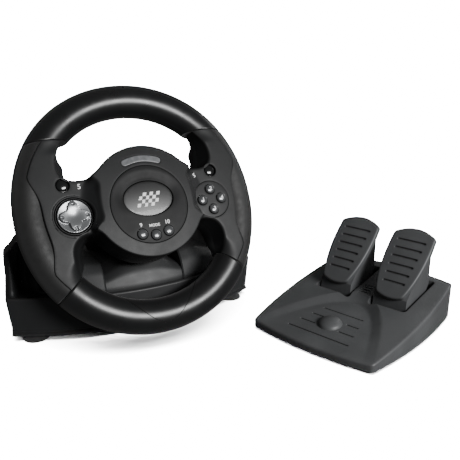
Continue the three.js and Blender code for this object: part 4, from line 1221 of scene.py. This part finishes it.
TRAY_HALF_WIDTH, TRAY_HALF_DEPTH, TRAY_BOW = 78, 90, 7
TRAY_UNDER_Z, TRAY_HEEL_Z, TRAY_TOE_Z = 3, 10, 42
TRAY_SLOPE = (TRAY_TOE_Z - TRAY_HEEL_Z) / (2 * TRAY_HALF_DEPTH)
PEDAL_X = 33
ARCH_TOP_Y, ARCH_HALF_WIDTH, ARCH_BAND, ARCH_POWER = 15, 73, 11, 2.1
BUMP_Y, BUMP_RADIUS, BUMP_HEIGHT = -46, 12.5, 6.2
# Openings in the cover: the two arms' and the vent's, as half width, near y and far y
ARM_SLOT = (21.7, 6.3, 75.7)
VENT_SLOT = (6.3, 15.7, 34.3)
SLOT_FLOOR_Z = TRAY_UNDER_Z + 4


def tray_top(y):
    return TRAY_HEEL_Z + TRAY_SLOPE * (y + TRAY_HALF_DEPTH)


def tray_plan():
    """A square with four bowed sides."""
    w, d, bow = TRAY_HALF_WIDTH, TRAY_HALF_DEPTH, TRAY_BOW
    corners = [(-w + bow, -d + bow), (w - bow, -d + bow), (w - bow, d - bow), (-w + bow, d - bow)]
    controls = [(0, -d - bow), (w + bow, 0), (0, d + bow), (-w - bow, 0)]
    points = []
    for start, control, stop in zip(corners, controls, corners[1:] + corners[:1]):
        points += bend(start, control, stop, 1.5)[:-1]
    return relaxed(even_loop(points, 1.5), 6)


def arch_y(t):
    """The arch's edge, t half widths from its middle."""
    return ARCH_TOP_Y - (ARCH_TOP_Y + TRAY_HALF_DEPTH) * t ** ARCH_POWER


def arch_steepness(t):
    """How steeply the arch's edge falls there."""
    reach = ARCH_TOP_Y + TRAY_HALF_DEPTH
    return ARCH_POWER * reach / ARCH_HALF_WIDTH * t ** (ARCH_POWER - 1)


def arch_depth(x, y):
    """Millimetres inside the arch round the heel panel, negative outside."""
    t = np.abs(x) / ARCH_HALF_WIDTH
    return (arch_y(t) - y) / np.sqrt(1 + arch_steepness(np.maximum(t, 0.02)) ** 2)


def tray_height(x, y):
    """Top of the cover: a slope, a sunk heel panel behind an arched band, and a domed bump on the panel."""
    sunk = 0.062 * np.maximum(y + TRAY_HALF_DEPTH, 0)
    ramp = np.clip(arch_depth(x, y) / ARCH_BAND, 0, 1)
    z = tray_top(y) - sunk * ramp
    from_bump = np.hypot(x, y - BUMP_Y)
    dome = np.sqrt(np.maximum(1 - (from_bump / BUMP_RADIUS) ** 2, 0))
    return z + BUMP_HEIGHT * dome


def arch_lines():
    """Points along the arched band's two creases and round the bump."""
    points = []
    for t in np.linspace(-1, 1, 301):
        x, y = ARCH_HALF_WIDTH * t, arch_y(abs(t))
        steep = math.copysign(arch_steepness(abs(t)), -t)
        across = Vector((-steep, 1)).normalized()
        points.append((x, y))
        points.append((x - across.x * ARCH_BAND, y - across.y * ARCH_BAND))
    for inset in (0, 0.5, 1.6):
        points += circle(0, BUMP_Y, BUMP_RADIUS - inset, 0.9)
    return points


def slit(x0, x1, y, half=0.9):
    """A narrow slot along x with round ends, clockwise."""
    left = arc(x0 + half, y, half, 270, 90, 0.5)
    right = arc(x1 - half, y, half, 90, -90, 0.5)
    return even_loop(left + right, 0.9)


def box_loop(x, half_width, y0, y1, radius):
    """A rectangle with rounded corners, clockwise."""
    x0, x1 = x - half_width, x + half_width
    corners = [
        (x0 + radius, y1 - radius, 180), (x1 - radius, y1 - radius, 90),
        (x1 - radius, y0 + radius, 0), (x0 + radius, y0 + radius, -90),
    ]
    points = []
    for cx, cy, start in corners:
        points += arc(cx, cy, radius, start, start - 90, 0.6)
    return even_loop(points, 1.5)


def heel_grooves():
    """Four grooves across the heel panel, the middle two broken by the bump."""
    gap = BUMP_RADIUS + 1.2
    runs = [(-36, 36, -69), (-24, 24, -22)]
    runs += [(side * gap, side * reach, y) for side in (-1, 1) for y, reach in ((-53, 32), (-37.5, 28))]
    return [(*sorted((a, b)), y) for a, b, y in runs]


def make_tray():
    holes = []
    for x0, x1, y in heel_grooves():
        holes.append((slit(x0, x1, y), 0.3, float(tray_height(x0, y)) - 1.5))
    for x in (-PEDAL_X, PEDAL_X):
        holes.append((box_loop(x, *ARM_SLOT, 4), 0.8, SLOT_FLOOR_Z))
    holes.append((box_loop(0, *VENT_SLOT, 1), 0.4, SLOT_FLOOR_Z))
    parts = plate(tray_plan(), tray_height, TRAY_UNDER_Z, holes, 2.2, 3.5, [(-76, 76, -90, 18, 1.8)],
                  lines=arch_lines(), floors=True)
    add_mesh("pedal_tray", *parts, PEDALS, "pedal_unit", "pedal_plastic", sharp=24, replaces=["pedal_cover"])


PAD_LENGTH, PAD_HALF_WIDTH, PAD_THICKNESS = 84, 24.5, 6
PAD_SLOPE, PAD_HEEL_Y, PAD_HEEL_Z = math.radians(48), 13, 34


def tread_plan():
    """Outline of a tread: a narrow heel, bowed sides, and a wide top with corners."""
    w, length = PAD_HALF_WIDTH, PAD_LENGTH
    heel, shoulder = (w * 0.64, 3), (w * 0.97, length * 0.9)
    points = bend((-heel[0], heel[1]), (0, -5), heel, 0.8)
    points += bend(heel, (w * 1.1, length * 0.4), shoulder)[1:]
    points += bend(shoulder, (0, length * 1.08), (-shoulder[0], shoulder[1]))[1:]
    points += bend((-shoulder[0], shoulder[1]), (-w * 1.1, length * 0.4), (-heel[0], heel[1]))[1:-1]
    return relaxed(even_loop(points, 1.0), 6)


def tread_height(x, y):
    return PAD_THICKNESS - 0.5 * (x / PAD_HALF_WIDTH) ** 2 - 0.3 * ((y - 42) / 42) ** 2


def make_tread(side, name):
    """A tread with six moulded grooves."""
    unit = PEDALS @ Matrix.Translation(Vector((side * PEDAL_X, PAD_HEEL_Y, PAD_HEEL_Z)) * MM)
    unit = unit @ Matrix.Rotation(PAD_SLOPE, 4, "X")
    holes = []
    for i in range(6):
        y = PAD_LENGTH * (0.2 + 0.118 * i)
        reach = 12.6 + 0.75 * i
        holes.append((slit(-reach, reach, y, 1.25), 0.35, PAD_THICKNESS - 2.2))
    parts = plate(tread_plan(), tread_height, 0.0, holes, 2.0, 1.8, floors=True)
    add_mesh(f"{name}_tread", *parts, unit, f"{name}_pedal", "pedal_plastic", replaces=[f"{name}_pad"])


def make_pedal_foot(node, x, y):
    """A round rubber foot with a ring pressed into its sole."""
    profile = [
        (0, 0.05), (6.5, 0.05), (6.9, 0.5), (7.4, 0.5), (7.8, 0.02), (9, 0.02), (9, 1.4), (8.2, 2.6),
        (0, 2.6),
    ]
    parts = turned(rounded(profile, 0.4), 48, (x, y))
    add_mesh(f"{node}_rubber", *parts, PEDALS, "pedal_unit", "foot_rubber", replaces=[node])


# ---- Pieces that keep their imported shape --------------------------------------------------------

SMALL_EDGE_BREAK = 0.3
EDGE_BREAK = {"brake_arm": 1.6, "accelerator_arm": 1.6, "base_lower_cover": 0.6, "pedal_plate": 0.6}


def finish_kept_nodes():
    """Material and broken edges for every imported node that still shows."""
    for entry in frame["record"]["subparts"]:
        name, node = entry["node"], frame["nodes"][entry["node"]]
        node.data.materials.clear()
        node.data.materials.append(MATERIALS[entry["material_slot"]])
        bevel = node.modifiers.new("broken_edges", "BEVEL")
        bevel.width = EDGE_BREAK.get(name, SMALL_EDGE_BREAK) * MM
        bevel.segments = 3
        bevel.limit_method = "ANGLE"
        bevel.angle_limit = math.radians(35)
        bevel.harden_normals = False


# ---- Stage, light and camera --------------------------------------------------------------------

VIEW_TURN, VIEW_DOWN = math.radians(-27.4), math.radians(17.5)
EYE = (-187.05, -541.8, 288.5)    # from the floor under the wheel's centre, in millimetres
LENS_MM, SENSOR_MM = 46.25, 36
PAPER_NEAR_Y, PAPER_BEND_Y, PAPER_BEND, PAPER_TOP_Z, PAPER_HALF_WIDTH = -3.0, 1.6, 1.2, 3.4, 4.0   # in metres
FLOOR_CENTRE = Vector((steering_pos.x, steering_pos.y, 0))


def from_view(right, forward, up):
    """A place given along the camera's own right, level forward and up, round the wheel."""
    return tuple(Matrix.Rotation(VIEW_TURN, 3, "Z") @ Vector((right, forward, up)) + FLOOR_CENTRE)


def soft_light(name, at, target, size, watts):
    light = bpy.data.lights.new(name, "AREA")
    light.shape = "RECTANGLE"
    light.size, light.size_y = size
    light.energy = watts
    lamp = placed(name, light)
    lamp.location = at
    lamp.rotation_euler = (Vector(target) - Vector(at)).to_track_quat("-Z", "Y").to_euler()
    return lamp


def make_stage():
    """A sheet of paper that sweeps up behind the object, with two lights of its own."""
    line = [(PAPER_NEAR_Y, 0.0), (PAPER_BEND_Y, 0.0)]
    for a in np.linspace(0, math.pi / 2, 25)[1:]:
        line.append((PAPER_BEND_Y + PAPER_BEND * math.sin(a), PAPER_BEND - PAPER_BEND * math.cos(a)))
    line.append((PAPER_BEND_Y + PAPER_BEND, PAPER_TOP_Z))
    rows = [[(x, y, z) for y, z in line] for x in (-PAPER_HALF_WIDTH, PAPER_HALF_WIDTH)]
    vertices, faces = skin(rows, ring=False)
    mesh = bpy.data.meshes.new("paper")
    mesh.from_pydata(vertices, [], faces)
    mesh.shade_smooth()
    mesh.materials.append(floor_material())
    sheet = placed("paper", mesh)
    sheet.rotation_euler.z = VIEW_TURN
    sheet.visible_diffuse = False
    sheet.visible_glossy = False
    paper_only = bpy.data.collections.new("paper_only")
    paper_only.objects.link(sheet)
    for name, at, target, size, watts in (
        ("paper_top", (0, 0.2, 2.6), (0, 0.2, 0), (3.5, 3.5), 2400),
        ("paper_back", (0, -0.4, 2.0), (0, 2.8, 1.2), (3.5, 2.0), 2000),
    ):
        lamp = soft_light(name, from_view(*at), from_view(*target), size, watts)
        lamp.light_linking.receiver_collection = paper_only


def make_world():
    world = bpy.data.worlds.new("studio")
    world.use_nodes = True
    background = world.node_tree.nodes["Background"]
    background.inputs["Color"].default_value = (1, 1, 1, 1)
    background.inputs["Strength"].default_value = 0.09
    bpy.context.scene.world = world


def make_lights():
    middle = from_view(0.1, 0, 0.12)
    soft_light("key", from_view(0.84, -0.85, 0.62), middle, (0.6, 0.3), 24)
    soft_light("back_right", from_view(1.2, 0.9, 0.8), middle, (1.0, 0.6), 4)


def make_camera():
    camera = bpy.data.cameras.new("camera")
    camera.lens, camera.sensor_width = LENS_MM, SENSOR_MM
    eye = placed("camera", camera)
    eye.location = FLOOR_CENTRE + Vector(EYE) * MM
    eye.rotation_euler = (math.pi / 2 - VIEW_DOWN, 0, VIEW_TURN)
    bpy.context.scene.camera = eye


# ---- Everything ---------------------------------------------------------------------------------


def make_wheel():
    make_top_grip()
    make_bottom_grip()
    make_side_grip(-1, "left")
    make_side_grip(1, "right")
    make_front_shell()
    make_rear_shell()
    make_paddle_lugs()
    make_hub_disc()
    make_badge()
    make_emblem()
    make_lens()
    make_controls()
    make_button_plate()
    make_dpad_dish()
    make_dpad()
    make_paddle(-1, "left_paddle")
    make_paddle(1, "right_paddle")


def make_base():
    make_base_tub()
    make_shoulder(-1, "left")
    make_shoulder(1, "right")
    make_saddle()
    make_column()
    make_collar()
    for row, (x, y) in CUP_PLACES.items():
        for word, side in (("left", -1), ("right", 1)):
            make_cup(f"suction_cup_{row}_{word}", side * x, y)


def make_pedals():
    make_tray()
    make_tread(-1, "brake")
    make_tread(1, "accelerator")
    for row, y in (("heel", -70), ("toe", 70)):
        for word, side in (("left", -1), ("right", 1)):
            make_pedal_foot(f"pedal_foot_{row}_{word}", side * 58, y)


make_wheel()
make_base()
make_pedals()
finish_kept_nodes()
make_stage()
make_world()
make_lights()
make_camera()
